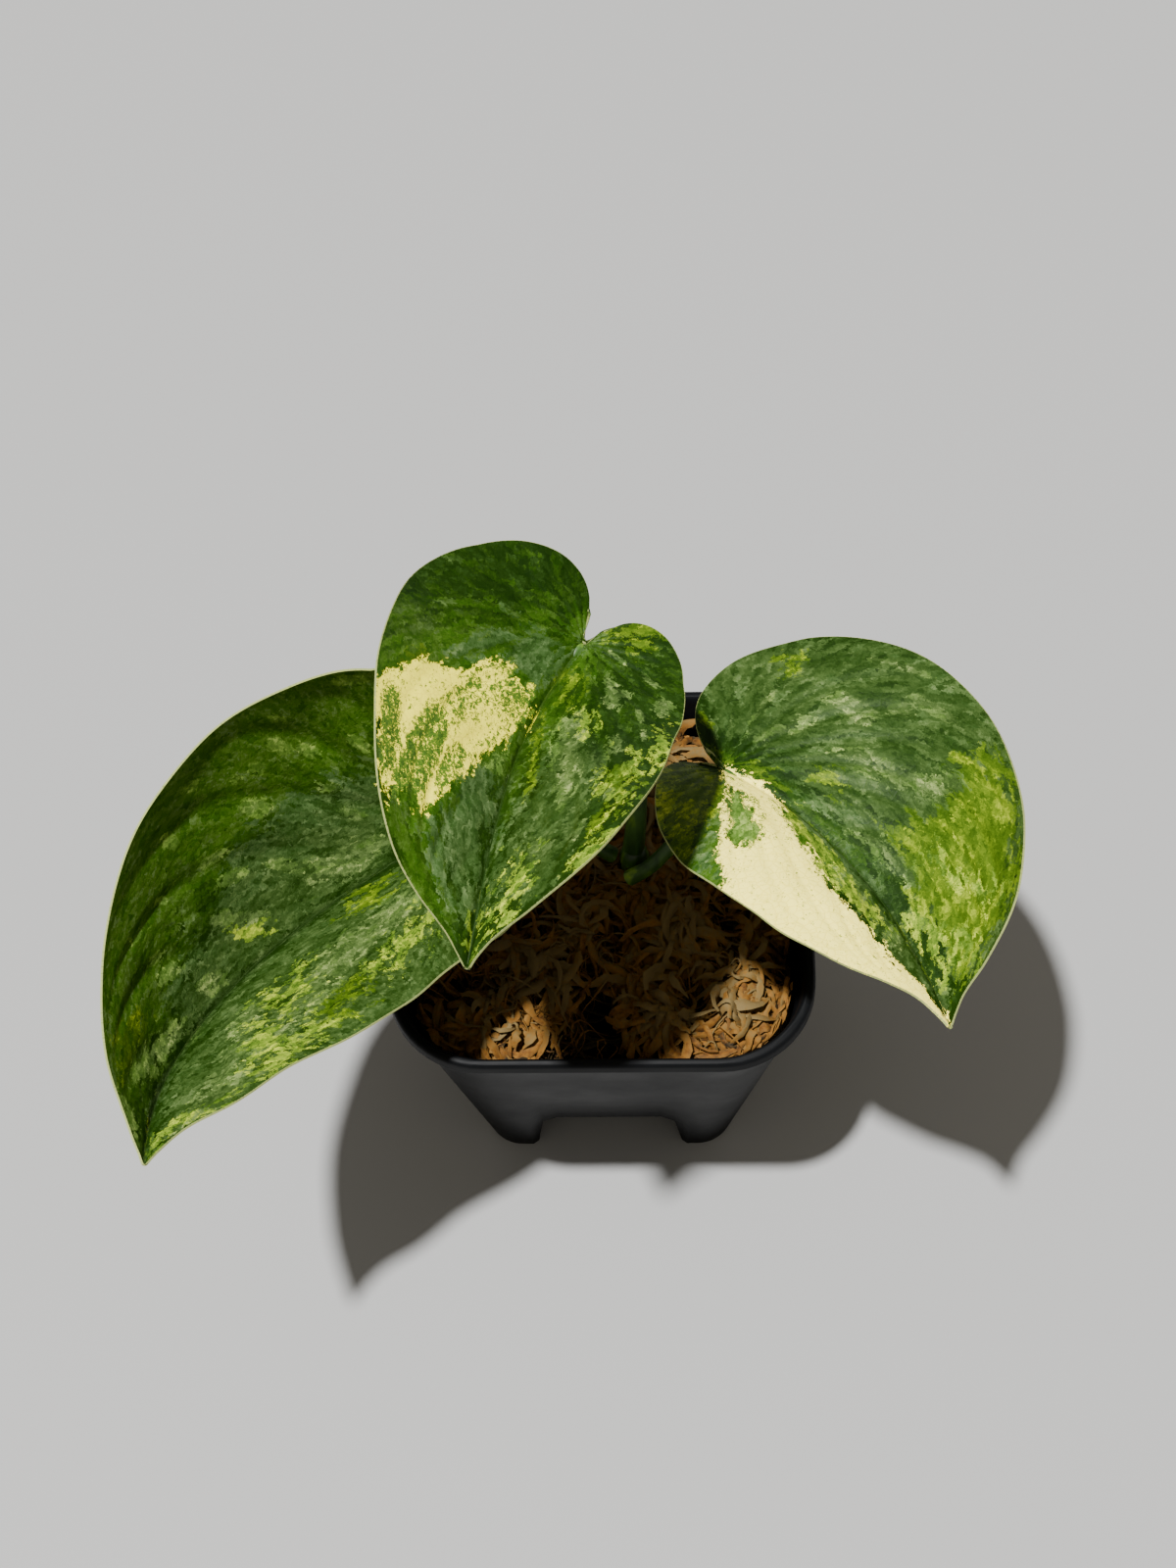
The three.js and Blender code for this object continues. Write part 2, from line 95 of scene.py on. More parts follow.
def linear(code):
    """An sRGB hex value as linear red, green, blue and full alpha."""
    parts = [int(code[i:i + 2], 16) / 255 for i in (1, 3, 5)]
    return tuple(c / 12.92 if c <= 0.04045 else ((c + 0.055) / 1.055) ** 2.4 for c in parts) + (1.0,)


def fill(tree, node, inputs):
    """Sets each named socket of a node, or links it where the value is another node's socket."""
    for socket, value in inputs.items():
        if isinstance(value, bpy.types.NodeSocket):
            tree.links.new(value, node.inputs[socket])
        else:
            node.inputs[socket].default_value = value


def add(tree, kind, inputs=None, stops=None, **settings):
    """Adds one shader node with its settings, and fills or links its sockets."""
    made = tree.nodes.new(kind)
    for name, value in settings.items():
        setattr(made, name, value)
    fill(tree, made, inputs or {})
    if stops:
        ramp = made.color_ramp.elements
        while len(ramp) < len(stops):
            ramp.new(0.5)
        for element, (place, code) in zip(ramp, stops):
            element.position = place
            element.color = linear(code)
    return made


def read_value(tree, name, part):
    """One of the three numbers kept on a piece's points."""
    kept = add(tree, "ShaderNodeAttribute", attribute_name=name)
    return add(tree, "ShaderNodeSeparateXYZ", {"Vector": kept.outputs["Vector"]}).outputs[part]


def new_material(name):
    """An empty material: its tree and its surface shader."""
    material = bpy.data.materials.new(name)
    material.use_nodes = True
    tree = material.node_tree
    return material, tree, tree.nodes["Principled BSDF"]


def make_stage():
    """A plain pale floor, one key light from the front left and a soft surround, brighter overhead."""
    bpy.ops.mesh.primitive_plane_add(size=FLOOR_SIZE, location=(0, 0, 0))
    floor = bpy.context.object
    floor.name = "floor"
    material, tree, shader = new_material("pale_painted_board")
    fill(tree, shader, {"Base Color": linear("#868685"), "Roughness": 0.6})
    floor.data.materials.append(material)
    bpy.ops.object.light_add(type="SUN")
    sun = bpy.context.object
    sun.name = "key_light"
    back = -np.array(SUN_TRAVEL) / np.linalg.norm(SUN_TRAVEL)
    side = np.cross([0, 1, 0], back)
    side /= np.linalg.norm(side)
    stand(sun, side, np.cross(back, side), back, SUN_PLACE)
    sun.data.energy = SUN_STRENGTH
    sun.data.angle = math.radians(SUN_SPREAD)
    world = bpy.data.worlds.new("pale_surround")
    bpy.context.scene.world = world
    world.use_nodes = True
    tree = world.node_tree
    way = add(tree, "ShaderNodeTexCoord").outputs["Generated"]
    height = add(tree, "ShaderNodeSeparateXYZ", {"Vector": way}).outputs["Z"]
    strength = add(tree, "ShaderNodeMapRange",
                   {0: height, 1: 0.0, 2: 1.0, 3: HORIZON_STRENGTH, 4: SKY_STRENGTH})
    fill(tree, tree.nodes["Background"], {"Color": linear("#f0e9dc"), "Strength": strength.outputs[0]})


# Mesh helpers
# Points nearer than this many metres are one point.
SAME_PLACE = 1e-6


def nothing_selected():
    if bpy.context.object and bpy.context.object.mode != "OBJECT":
        bpy.ops.object.mode_set(mode="OBJECT")
    bpy.ops.object.select_all(action="DESELECT")


def only(piece):
    nothing_selected()
    piece.select_set(True)
    bpy.context.view_layer.objects.active = piece


def sheet_of(name, columns, rows):
    """A flat grid piece, with each point's shares along and across it, from 0 to 1."""
    nothing_selected()
    bpy.ops.mesh.primitive_grid_add(x_subdivisions=columns, y_subdivisions=rows, size=1)
    piece = bpy.context.object
    piece.name = name
    piece.data.name = name
    flat = np.empty(len(piece.data.vertices) * 3)
    piece.data.vertices.foreach_get("co", flat)
    flat = flat.reshape(-1, 3)
    return piece, flat[:, 0] + 0.5, flat[:, 1] + 0.5


def move_points(piece, points):
    piece.data.vertices.foreach_set("co", np.asarray(points, float).ravel())
    piece.data.update()


def keep_values(piece, name, *columns):
    """Stores three numbers for each point, which a material can read by name."""
    store = piece.data.attributes.new(name, "FLOAT_VECTOR", "POINT")
    store.data.foreach_set("vector", np.stack(columns, -1).ravel())


def merge_points(piece, distance):
    only(piece)
    bpy.ops.object.mode_set(mode="EDIT")
    bpy.ops.mesh.select_all(action="SELECT")
    bpy.ops.mesh.remove_doubles(threshold=distance)
    bpy.ops.object.mode_set(mode="OBJECT")


def close_ends(piece):
    """Fills every open ring of a piece and turns its faces outward."""
    only(piece)
    bpy.ops.object.mode_set(mode="EDIT")
    bpy.ops.mesh.select_all(action="DESELECT")
    bpy.ops.mesh.select_mode(type="EDGE")
    bpy.ops.mesh.select_non_manifold()
    bpy.ops.mesh.edge_face_add()
    bpy.ops.mesh.select_mode(type="VERT")
    bpy.ops.mesh.select_all(action="SELECT")
    bpy.ops.mesh.normals_make_consistent(inside=False)
    bpy.ops.object.mode_set(mode="OBJECT")


def use_modifier(piece, kind, **settings):
    only(piece)
    modifier = piece.modifiers.new(kind.lower(), kind)
    for name, value in settings.items():
        setattr(modifier, name, value)
    bpy.ops.object.modifier_apply(modifier=modifier.name)


def finish_piece(piece, material, edge_angle, node):
    """Shades and hands over a finished piece: what it rides on and the solid it stands for."""
    only(piece)
    bpy.ops.object.shade_smooth_by_angle(angle=math.radians(edge_angle))
    piece.data.materials.clear()
    piece.data.materials.append(material)
    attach(piece, "root")
    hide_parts(node)


def closed_skin(name, rings):
    """A closed piece through rings of points that have the same count, from one end to the other."""
    rings = np.asarray(rings, float)
    count = rings.shape[1]
    piece, around, along = sheet_of(name, count, len(rings) - 1)
    ring = np.rint(along * (len(rings) - 1)).astype(int)
    spot = np.rint(around * count).astype(int) % count
    move_points(piece, placed(rings[ring, spot]))
    merge_points(piece, SAME_PLACE)
    close_ends(piece)
    return piece


def smooth_step(low, high, value):
    t = np.clip((value - low) / (high - low), 0, 1)
    return t * t * (3 - 2 * t)


def mix(a, b, t):
    return a + (b - a) * t


# The pot: moulded in one shot, with a thin lip and four hollow feet
POT_HEIGHT = 70
RIM_HALF = 37.5
RIM_CORNER = 17
LIP_OVERHANG = 0.6
LIP_HEIGHT = 3
FOOT_HALF = 24
FOOT_CORNER = 7
WALL = 0.9
FEET_HEIGHT = 13
GAP_TOP = 12.6
GAP_BOTTOM = 14
PLATE = 1.2
DRAIN_RADIUS = 2.5
PANEL_DEPTH = 2.7
PANEL_TOP = 48
PANEL_INNER = 11
PANEL_OUTER = 15
# How far the moulded edges are rounded, and below what angle in degrees they aren't.
EDGE_ROUND = 0.28
EDGE_ANGLE = 38
# Heights of the wall's rings, closer together where the feet and panels curve.
WALL_RINGS = (4, 8.5, FEET_HEIGHT, 17, 21, 26, 31, 36, 42, PANEL_TOP, 56)
# Rings of the lip, as distances below the top and inside the rim, and of the hollow's mouth, as
# heights and distances inside the wall's outer face.
LIP_RINGS = ((LIP_HEIGHT - 0.35, 0.0), (LIP_HEIGHT - 0.8, 0.06), (0.9, 0.0), (0.35, 0.12), (0, 0.5))
MOUTH_RINGS = ((68.2, WALL + 0.25), (69.6, WALL + 0.1), (70.2, WALL - 0.4), (72, WALL - 0.9))


def wall_half(z):
    return mix(FOOT_HALF, RIM_HALF - LIP_OVERHANG, z / POT_HEIGHT)


def square_ring(z, inset, grow=0.0, corner_steps=14, side_steps=13):
    """A square ring with round corners, sunk in along the middle of each side."""
    half = wall_half(z) - inset + grow
    corner = mix(FOOT_CORNER, RIM_CORNER, z / POT_HEIGHT) - inset
    sunk = PANEL_DEPTH * (1 - smooth_step(FEET_HEIGHT, PANEL_TOP, z))
    bend = np.linspace(0, math.pi / 2, corner_steps)
    y = np.linspace(-PANEL_OUTER, PANEL_OUTER, side_steps)
    x = half - sunk * (1 - smooth_step(PANEL_INNER, PANEL_OUTER, np.abs(y)))
    x = np.concatenate([x, half - corner + corner * np.cos(bend)])
    y = np.concatenate([y, half - corner + corner * np.sin(bend)])
    ring = []
    for side in range(4):
        cos, sin = round(math.cos(side * math.pi / 2)), round(math.sin(side * math.pi / 2))
        ring.append(np.stack([x * cos - y * sin, x * sin + y * cos, np.full_like(x, z)], -1))
    return np.concatenate(ring)


def channel_bar(turned, grow):
    """The channel under the floor as a solid bar, to be cut away."""
    lean = (GAP_BOTTOM - GAP_TOP) / FEET_HEIGHT
    low, high = -5, FEET_HEIGHT + grow
    half_low, half_high = GAP_BOTTOM - lean * low + grow, GAP_TOP + grow
    profile = [(-half_low, low), (half_low, low), (half_high, high), (-half_high, high)]
    ends = [[(x, end, z) if turned else (end, -x, z) for x, z in profile] for end in (75, -75)]
    return closed_skin("channel_bar", ends)


def cut_with(piece, tool):
    use_modifier(piece, "BOOLEAN", operation="DIFFERENCE", object=tool, solver="EXACT")
    bpy.data.objects.remove(tool)


def make_pot():
    """The pot: an outer skin with its lip, less its hollow, its two channels and five drain holes."""
    rings = [square_ring(z, 0) for z in (0, *WALL_RINGS, POT_HEIGHT - LIP_HEIGHT)]
    for below, inset in LIP_RINGS:
        z = POT_HEIGHT - below
        rings.append(square_ring(z, 0, RIM_HALF - inset - wall_half(z)))
    pot = closed_skin("moulded_pot", rings)
    rings = [square_ring(z, WALL) for z in (PLATE, *WALL_RINGS, 64)]
    rings += [square_ring(z, inset) for z, inset in MOUTH_RINGS]
    hollow = closed_skin("hollow", rings)
    for turned in (False, True):
        cut_with(hollow, channel_bar(turned, PLATE))
    cut_with(pot, hollow)
    for turned in (False, True):
        cut_with(pot, channel_bar(turned, 0))
    well = (GAP_BOTTOM + PLATE + FOOT_HALF - WALL) / 2
    for x, y in ((0, 0), (-well, -well), (-well, well), (well, -well), (well, well)):
        nothing_selected()
        bpy.ops.mesh.primitive_cylinder_add(
            vertices=32, radius=DRAIN_RADIUS * SCALE, depth=0.04, location=placed((x, y, 0)))
        drill = bpy.context.object
        bpy.ops.object.transform_apply(location=True, rotation=True, scale=True)
        cut_with(pot, drill)
    merge_points(pot, SAME_PLACE)
    use_modifier(pot, "BEVEL", width=EDGE_ROUND * SCALE, segments=2, limit_method="ANGLE",
                 angle_limit=math.radians(EDGE_ANGLE))
    finish_piece(pot, moulded_plastic(), 40, "pot")


def moulded_plastic():
    """Black polypropylene from a spark-eroded mould: near black, with a fine satin grain and a faint
    dusty bloom."""
    material, tree, shader = new_material("satin_black_polypropylene")
    place = add(tree, "ShaderNodeTexCoord").outputs["Object"]
    # The grain is about 0.3 mm, and the cloudy bloom about 15 mm.
    grain = add(tree, "ShaderNodeTexNoise", {"Vector": place, "Scale": 3300.0, "Detail": 2.0})
    bloom = add(tree, "ShaderNodeTexNoise", {"Vector": place, "Scale": 65.0, "Detail": 4.0, "Roughness": 0.6})
    tone = add(tree, "ShaderNodeValToRGB", {"Fac": bloom.outputs["Fac"]},
               stops=[(0.3, "#040506"), (0.75, "#0a0b0d")])
    dull = add(tree, "ShaderNodeMapRange", {0: bloom.outputs["Fac"], 1: 0.3, 2: 0.7, 3: 0.5, 4: 0.62})
    bump = add(tree, "ShaderNodeBump", {"Height": grain.outputs["Fac"], "Strength": 0.12, "Distance": 0.0001})
    fill(tree, shader, {"Base Color": tone.outputs["Color"], "Roughness": dull.outputs[0],
                        "Normal": bump.outputs["Normal"], "IOR": 1.49, "Specular IOR Level": 0.1})
    return material


# The moss
MOSS_EDGE = 57
MOSS_LEVEL = 63.5
MOSS_SHOULDER = 7
MOSS_DIMPLE = 3
CLEAR_OF_STEM = 8
SEAT = 0.3
STEM_FOOT = np.array([4.8, 2.9])
STEM_HEAD = np.array([5.8, 4.1])
STEM_BOTTOM = 38
STEM_TOP = 71.5
STEM_RADIUS = 2.3
BED_RINGS = (14.5, 20, 27, 34, 41, PANEL_TOP, MOSS_EDGE)
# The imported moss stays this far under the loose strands.
BED_BELOW = 4.2


def moss_top(x, y, share):
    """The lumpy top of the moss: a low mound, soft hummocks and a dip round the stem."""
    hummocks = 0.9 * np.sin(x / 5.3 + 1.1) * np.cos(y / 6.1) + 0.7 * np.sin((x + y) / 4.1)
    away = np.hypot(x - STEM_HEAD[0], y - STEM_HEAD[1])
    dip = MOSS_DIMPLE * (1 - smooth_step(4, 4 + CLEAR_OF_STEM, away))
    return MOSS_LEVEL + 1.6 * (1 - share * share) + hummocks - dip


def make_moss_bed():
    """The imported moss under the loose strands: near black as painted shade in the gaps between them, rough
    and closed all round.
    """
    inset = WALL + SEAT
    rings = [square_ring(z, inset, 0, 7, 7) for z in BED_RINGS]
    edge = rings[-1]
    span = wall_half(MOSS_EDGE) - inset
    for share in np.linspace(0.985, 0.02, 60):
        x, y = edge[:, 0] * share, edge[:, 1] * share
        rise = smooth_step(0, MOSS_SHOULDER, (1 - share) * span)
        lumps = 0.5 * np.sin(x * 1.9 + 2 * np.sin(y * 1.3)) * np.cos(y * 1.7 + np.sin(x * 1.1))
        top = moss_top(x, y, share) - BED_BELOW + lumps - 0.8 * hollow_depth(np.stack([x, y], -1))
        z = mix(MOSS_EDGE, top, rise)
        rings.append(np.stack([x, y, z], -1))
    finish_piece(closed_skin("packed_moss", rings), packed_moss(), 180, "moss_bed")


def packed_moss():
    """Fibre deep in the bed: dark brown, darkened to near black as painted shade where it shows between the
    loose strands, matte, with 1 mm strands only hinted at.
    """
    material, tree, shader = new_material("packed_dark_moss")
    place = add(tree, "ShaderNodeTexCoord").outputs["Object"]
    fibres = add(tree, "ShaderNodeTexNoise",
                 {"Vector": place, "Scale": 900.0, "Detail": 5.0, "Distortion": 1.5})
    # From near black to dark brown: the fibre's brown, darkened as painted shade in the gaps between strands.
    tone = add(tree, "ShaderNodeValToRGB", {"Fac": fibres.outputs["Fac"]},
               stops=[(0.35, "#060300"), (0.55, "#120a02"), (0.75, "#241506")])
    bump = add(tree, "ShaderNodeBump", {"Height": fibres.outputs["Fac"], "Strength": 0.8, "Distance": 0.0008})
    fill(tree, shader, {"Base Color": tone.outputs["Color"], "Normal": bump.outputs["Normal"],
                        "Roughness": 0.95, "Specular IOR Level": 0.1})
    return material


MOSS_SEED = 11
TUFTS = 170
TUFT_BLADES = 14
STRANDS = 1300
THREADS = 700
MOSS_GAP = 1.6
STEM_CLEARANCE = 3.6
# The loose moss meets the wall at this height, and the wall is measured a little above it.
LOOSE_EDGE = 59.5
LOOSE_WALL = 61
# Strands are scattered over a square of this half width before they are pulled into the pot.
SCATTER = 33


def depth_from_wall(x, y):
    """How far inside the pot's wall a place on top of the moss lies; the pot's corners are round."""
    half = wall_half(LOOSE_WALL) - WALL
    corner = mix(FOOT_CORNER, RIM_CORNER, LOOSE_WALL / POT_HEIGHT) - WALL
    over_x, over_y = np.abs(x) - (half - corner), np.abs(y) - (half - corner)
    outside = np.hypot(np.maximum(over_x, 0), np.maximum(over_y, 0))
    return corner - outside - np.minimum(np.maximum(over_x, over_y), 0)


def kept_in_pot(places):
    """Places on top of the moss, pulled in from the wall and pushed off the stem."""
    short = np.maximum(MOSS_GAP - depth_from_wall(places[..., 0], places[..., 1]), 0)
    reach = np.maximum(np.linalg.norm(places, axis=-1), 1e-6)
    places = places * (1 - short / reach)[..., None]
    off = places - STEM_HEAD
    away = np.maximum(np.linalg.norm(off, axis=-1), 1e-6)
    return places + off * (np.maximum(STEM_CLEARANCE - away, 0) / away)[..., None]


# Hollows between the clumps: place, radius and depth. All are made wider and deeper by the same shares.
HOLLOW_SPREAD = 1.15
HOLLOW_GAIN = 1.35
HOLLOWS = [
    (7.5, -8, 5, 3.5), (0.5, -25, 5, 4.5), (4.5, -31, 4, 3.5), (17, -20.5, 3.5, 3), (-27, -21, 5, 3.5),
    (-1.5, -17.5, 3, 2.5), (23, -8, 4, 3), (-14, -9, 4.5, 3), (-20, 8, 5, 3), (12, 18, 5, 3), (-6, 24, 5, 3),
    (26, 14, 4, 3), (-27, 24, 4, 3), (31, -18, 3, 3), (-12, -29, 3, 2.5),
]


def hollow_depth(places):
    depth = np.zeros(places.shape[:-1])
    for x, y, radius, deep in HOLLOWS:
        away = np.hypot(places[..., 0] - x, places[..., 1] - y)
        depth = np.maximum(depth, HOLLOW_GAIN * deep * np.exp(-((away / radius / HOLLOW_SPREAD) ** 2)))
    return depth


def scattered(draw, count):
    """Places on top of the moss, fewer of them in the hollows."""
    places = kept_in_pot(draw.uniform(-SCATTER, SCATTER, (count * 4, 2)))
    return places[draw.uniform(0.3, 3.5, count * 4) > hollow_depth(places)][:count]


def moss_height(places):
    """The level of the loose moss: lower at the wall, in the pits between tufts and by the stem."""
    x, y = places[..., 0], places[..., 1]
    depth = depth_from_wall(x, y)
    share = np.clip(1 - depth / 35, 0, 1)
    pits = np.sin(x / 2.5 + 1.4 * np.sin(y / 4.3)) * np.cos(y / 2.8 + 1.2 * np.sin(x / 3.9))
    top = moss_top(x, y, share) + 1.5 * pits - hollow_depth(places)
    return mix(LOOSE_EDGE, top, smooth_step(0.5, MOSS_SHOULDER + 1, depth))


def strand_paths(draw, count, steps, length, level):
    """Long strands that lie curled over each other: their points, headings and rolls."""
    here = scattered(draw, count)
    size = draw.uniform(*length, count)
    turn = draw.uniform(0, 2 * math.pi, count)
    curl = draw.normal(0, 1.9, count)
    wave = draw.normal(0, 0.8, count)
    lift = draw.uniform(*level, count)
    arch = draw.uniform(0.0, 2.4, count)
    tilt = draw.uniform(-2.5, 2.5, count)
    places, headings = [], []
    for t in np.linspace(0, 1, steps):
        heading = turn + curl * t + wave * math.sin(6 * t)
        if t:
            ahead = np.stack([np.cos(heading), np.sin(heading)], -1)
            here = kept_in_pot(here + ahead * (size / (steps - 1))[:, None])
        height = moss_height(here) + lift + arch * math.sin(math.pi * t) + tilt * (t - 0.5)
        places.append(np.concatenate([here, height[:, None]], -1))
        headings.append(heading)
    roll, twist = draw.normal(0, 0.8, count)[:, None], draw.normal(0, 1.1, count)[:, None]
    roll = roll + twist * np.linspace(0, 1, steps)
    return np.stack(places, 1), np.stack(headings, 1), roll


def tuft_paths(draw, tufts, blades, steps):
    """Heads and plumes of moss: blades that spring from one place, arch over and hang down around it."""
    middle = scattered(draw, tufts)
    lean = draw.normal(0, 0.28, (tufts, 2))
    size = draw.uniform(4.0, 9.0, tufts)
    rise = draw.uniform(-1.4, 1.6, tufts)
    facing = draw.uniform(0, 2 * math.pi, tufts)
    spread = draw.uniform(0.15, 0.6, tufts)
    middle, lean = np.repeat(middle, blades, 0), np.repeat(lean, blades, 0)
    middle = middle + draw.normal(0, 0.9, middle.shape)
    size = np.repeat(size, blades) * draw.uniform(0.5, 1.25, tufts * blades)
    rise = np.repeat(rise, blades) + draw.normal(0, 0.5, tufts * blades)
    fan = np.tile((np.arange(blades) / blades - 0.5) * 2 * math.pi, tufts) * np.repeat(spread, blades)
    turn = np.repeat(facing, blades) + fan + draw.normal(0, 0.3, tufts * blades)
    curl = draw.normal(0, 1.0, tufts * blades)
    arch = draw.uniform(0.4, 3.0, tufts * blades)
    hang = draw.uniform(0.2, 3.4, tufts * blades)
    base = moss_height(middle)
    places, headings = [], []
    for t in np.linspace(0, 1, steps):
        heading = turn + curl * t
        step = np.stack([np.cos(heading), np.sin(heading)], -1) * (size * t)[:, None]
        here = kept_in_pot(middle + step)
        height = mix(base, moss_height(here), 0.5 * t) + rise + (step * lean).sum(-1)
        height = height + arch * math.sin(math.pi * t * 0.8) - hang * t * t
        places.append(np.concatenate([here, height[:, None]], -1))
        headings.append(heading + curl * t)
    roll = draw.normal(0, 0.4, tufts * blades)[:, None] * np.ones(steps)
    return np.stack(places, 1), np.stack(headings, 1), roll


def lay_moss(name, draw, paths, width, fray, tone):
    """Many strands of moss in one piece: each is a narrow cupped sheet, frayed at its edges."""
    path, heading, roll = paths
    count, steps = heading.shape
    piece, along, across = sheet_of(name, steps - 1, 2)
    points = len(piece.data.vertices)
    step = np.rint(along * (steps - 1)).astype(int)
    lane = np.rint(across * 2).astype(int) - 1
    wide = draw.uniform(*width, count)
    cup = draw.uniform(0.3, 1.1, count)
    taper = np.sin(np.linspace(0.12, 0.93, steps) * math.pi) ** 0.45
    frayed = 1 + fray * draw.uniform(-1, 1, (count, steps, 2))
    side = np.stack([-np.sin(heading), np.cos(heading), np.zeros_like(heading)], -1)
    up = np.array([0.0, 0.0, 1.0])
    flat_side = side * np.cos(roll)[..., None] + up * np.sin(roll)[..., None]
    flat_up = up * np.cos(roll)[..., None] - side * np.sin(roll)[..., None]
    half = wide[:, None] / 2 * taper[None, :]
    out = np.where(lane == 0, 0.0, 1.0)
    spread = half[:, step] * np.where(lane < 0, frayed[:, step, 0], frayed[:, step, 1]) * lane
    place = path[:, step] + flat_side[:, step] * spread[..., None]
    place = place - flat_up[:, step] * (half[:, step] * cup[:, None] * out)[..., None]
    faces = np.array([list(face.vertices) for face in piece.data.polygons])
    whole = (faces[None] + (np.arange(count) * points)[:, None, None]).reshape(-1, 4)
    mesh = bpy.data.meshes.new(name)
    mesh.from_pydata(placed(place.reshape(-1, 3)).tolist(), [], whole.tolist())
    template = piece.data
    piece.data = mesh
    bpy.data.meshes.remove(template)
    # Each strand's tone differs at random, and is painted lighter the higher it lies and darker down in the
    # pits, by 0.1 for each millimetre from the moss level: painted light and shade.
    tone_with_painted_shading = np.clip(draw.normal(*tone, count), 0, 1)[:, None] + 0.1 * (place[..., 2] - MOSS_LEVEL)
    # A strand keeps its tone, painted shading included, and how near its edge each point is.
    keep_values(piece, "strand", tone_with_painted_shading.ravel(), np.tile(np.abs(lane), count), np.zeros(tone_with_painted_shading.size))
    finish_piece(piece, dried_moss(), 180, "moss_bed")


def make_loose_moss():
    """Long strands, then the heads and plumes, then thin threads on top."""
    draw = np.random.default_rng(MOSS_SEED)
    strands = strand_paths(draw, STRANDS, 11, (5, 15), (-3.8, 0.6))
    lay_moss("moss_strands", draw, strands, (0.6, 1.7), 0.5, (0.42, 0.2))
    tufts = tuft_paths(draw, TUFTS, TUFT_BLADES, 8)
    lay_moss("moss_tufts", draw, tufts, (0.7, 1.9), 0.5, (0.52, 0.18))
    threads = strand_paths(draw, THREADS, 9, (4, 12), (-1.5, 1.4))
    lay_moss("moss_threads", draw, threads, (0.2, 0.45), 0.2, (0.6, 0.25))


@cache
def dried_moss():
    """Dried long-fibre sphagnum: papery, amber to straw ribbons, paler and thinner at their edges."""
    material, tree, shader = new_material("dried_sphagnum_strands")
    place = add(tree, "ShaderNodeTexCoord").outputs["Object"]
    mottle = add(tree, "ShaderNodeTexNoise",
                 {"Vector": place, "Scale": 900.0, "Detail": 5.0, "Roughness": 0.65})
    uneven = add(tree, "ShaderNodeMath", {0: mottle.outputs["Fac"], 1: 1.3, 2: -0.65},
                 operation="MULTIPLY_ADD")
    # The strand's tone holds painted light and shade by height, so the ramp's darkest stops are painted shade
    # on strands low in the pits, and its upper stops fall on the tops.
    tone = add(tree, "ShaderNodeMath", {0: read_value(tree, "strand", "X"), 1: uneven.outputs[0]},
               operation="ADD", use_clamp=True)
    colour = add(tree, "ShaderNodeValToRGB", {"Fac": tone.outputs[0]},
                 stops=[(0.0, "#140900"), (0.3, "#543208"), (0.55, "#6e4813"), (0.8, "#5f4820"),
                        (1.0, "#5c4c2c")])
    pale = add(tree, "ShaderNodeMath", {0: read_value(tree, "strand", "Y"), 1: 0.2}, operation="MULTIPLY")
    edged = add(tree, "ShaderNodeMix",
                {0: pale.outputs[0], 6: colour.outputs["Color"], 7: linear("#70603a")}, data_type="RGBA")
    bump = add(tree, "ShaderNodeBump", {"Height": mottle.outputs["Fac"], "Strength": 0.5, "Distance": 0.0004})
    fill(tree, shader, {"Base Color": edged.outputs[2], "Normal": bump.outputs["Normal"],
                        "Roughness": 0.82, "Specular IOR Level": 0.2})
    return material


# The leaves. A blade is drawn flat first, with its joint at zero and its midrib along x, and then
# bent into place by the same rule and numbers as the part's own solids.
HEART_CENTRE = 0.22
OUTLINE_ANGLES = np.array([0, 5, 12, 22, 36, 54, 76, 100, 122, 141, 158, 170, 180.0])
BLADE_THICKNESS = 0.36
LEAVES = {
    "leaf_left": {
        "joint": (-24.5, 3.9, 81.9), "length": 96.8, "heading": -152.3, "rise": -10.7, "roll": 18.5,
        "bend": (-47.8, 7.9), "lobe_bend": 1.4, "sweep": 71.8,
        1: {"width": 0.79, "fold": (13, 33), "camber": (10, 19.5)},
        -1: {"width": 1.08, "fold": (66, 39), "camber": (-55, -46)},
        "outline": (0.72, 0.68, 0.61, 0.56, 0.51, 0.465, 0.455, 0.465, 0.435, 0.375, 0.305),
        "stalk": [(1.95, 3.9, 69.2), (-3, 4.4, 74), (-9.5, 4.7, 78.4), (-17, 4.7, 81)],
        "stalk_radius": (1.5, 1.1),
    },
    "leaf_middle": {
        "joint": (-1.6, 11.9, 128.6), "length": 69.5, "heading": -120.6, "rise": 2.7, "roll": -17,
        "bend": (-103.4, 112.8), "lobe_bend": -15.8, "sweep": 24.7,
        1: {"width": 0.775, "fold": (28, 55), "camber": (3, 19.5)},
        -1: {"width": 0.995, "fold": (22, 12.5), "camber": (14, -21.5)},
        "outline": (0.72, 0.68, 0.64, 0.57, 0.495, 0.445, 0.425, 0.41, 0.4, 0.375, 0.325),
        "stalk": [(5.8, 4.1, 72.1), (6.4, 5.1, 81), (6.8, 7.6, 94), (5.6, 11.3, 110), (2.2, 13.6, 122)],
        "stalk_radius": (2.05, 1.15),
    },
    "leaf_right": {
        "joint": (21.3, 5.3, 98.2), "length": 65, "heading": -28.1, "rise": 1.9, "roll": -28.6,
        "bend": (39.6, -31.2), "lobe_bend": -26.8, "sweep": -52.5,
        1: {"width": 1.095, "fold": (23, 50), "camber": (1.3, -64.5)},
        -1: {"width": 0.885, "fold": (16, 12.5), "camber": (31, 42.5)},
        "outline": (0.71, 0.68, 0.65, 0.6, 0.535, 0.505, 0.51, 0.49, 0.44, 0.38, 0.31),
        "stalk": [(4.9, -0.3, 68.3), (8.3, 0.1, 71.5), (12.5, 1.6, 77.2), (17, 3.9, 86), (20, 5.6, 94)],
        "stalk_radius": (1.5, 1.05),
    },
}


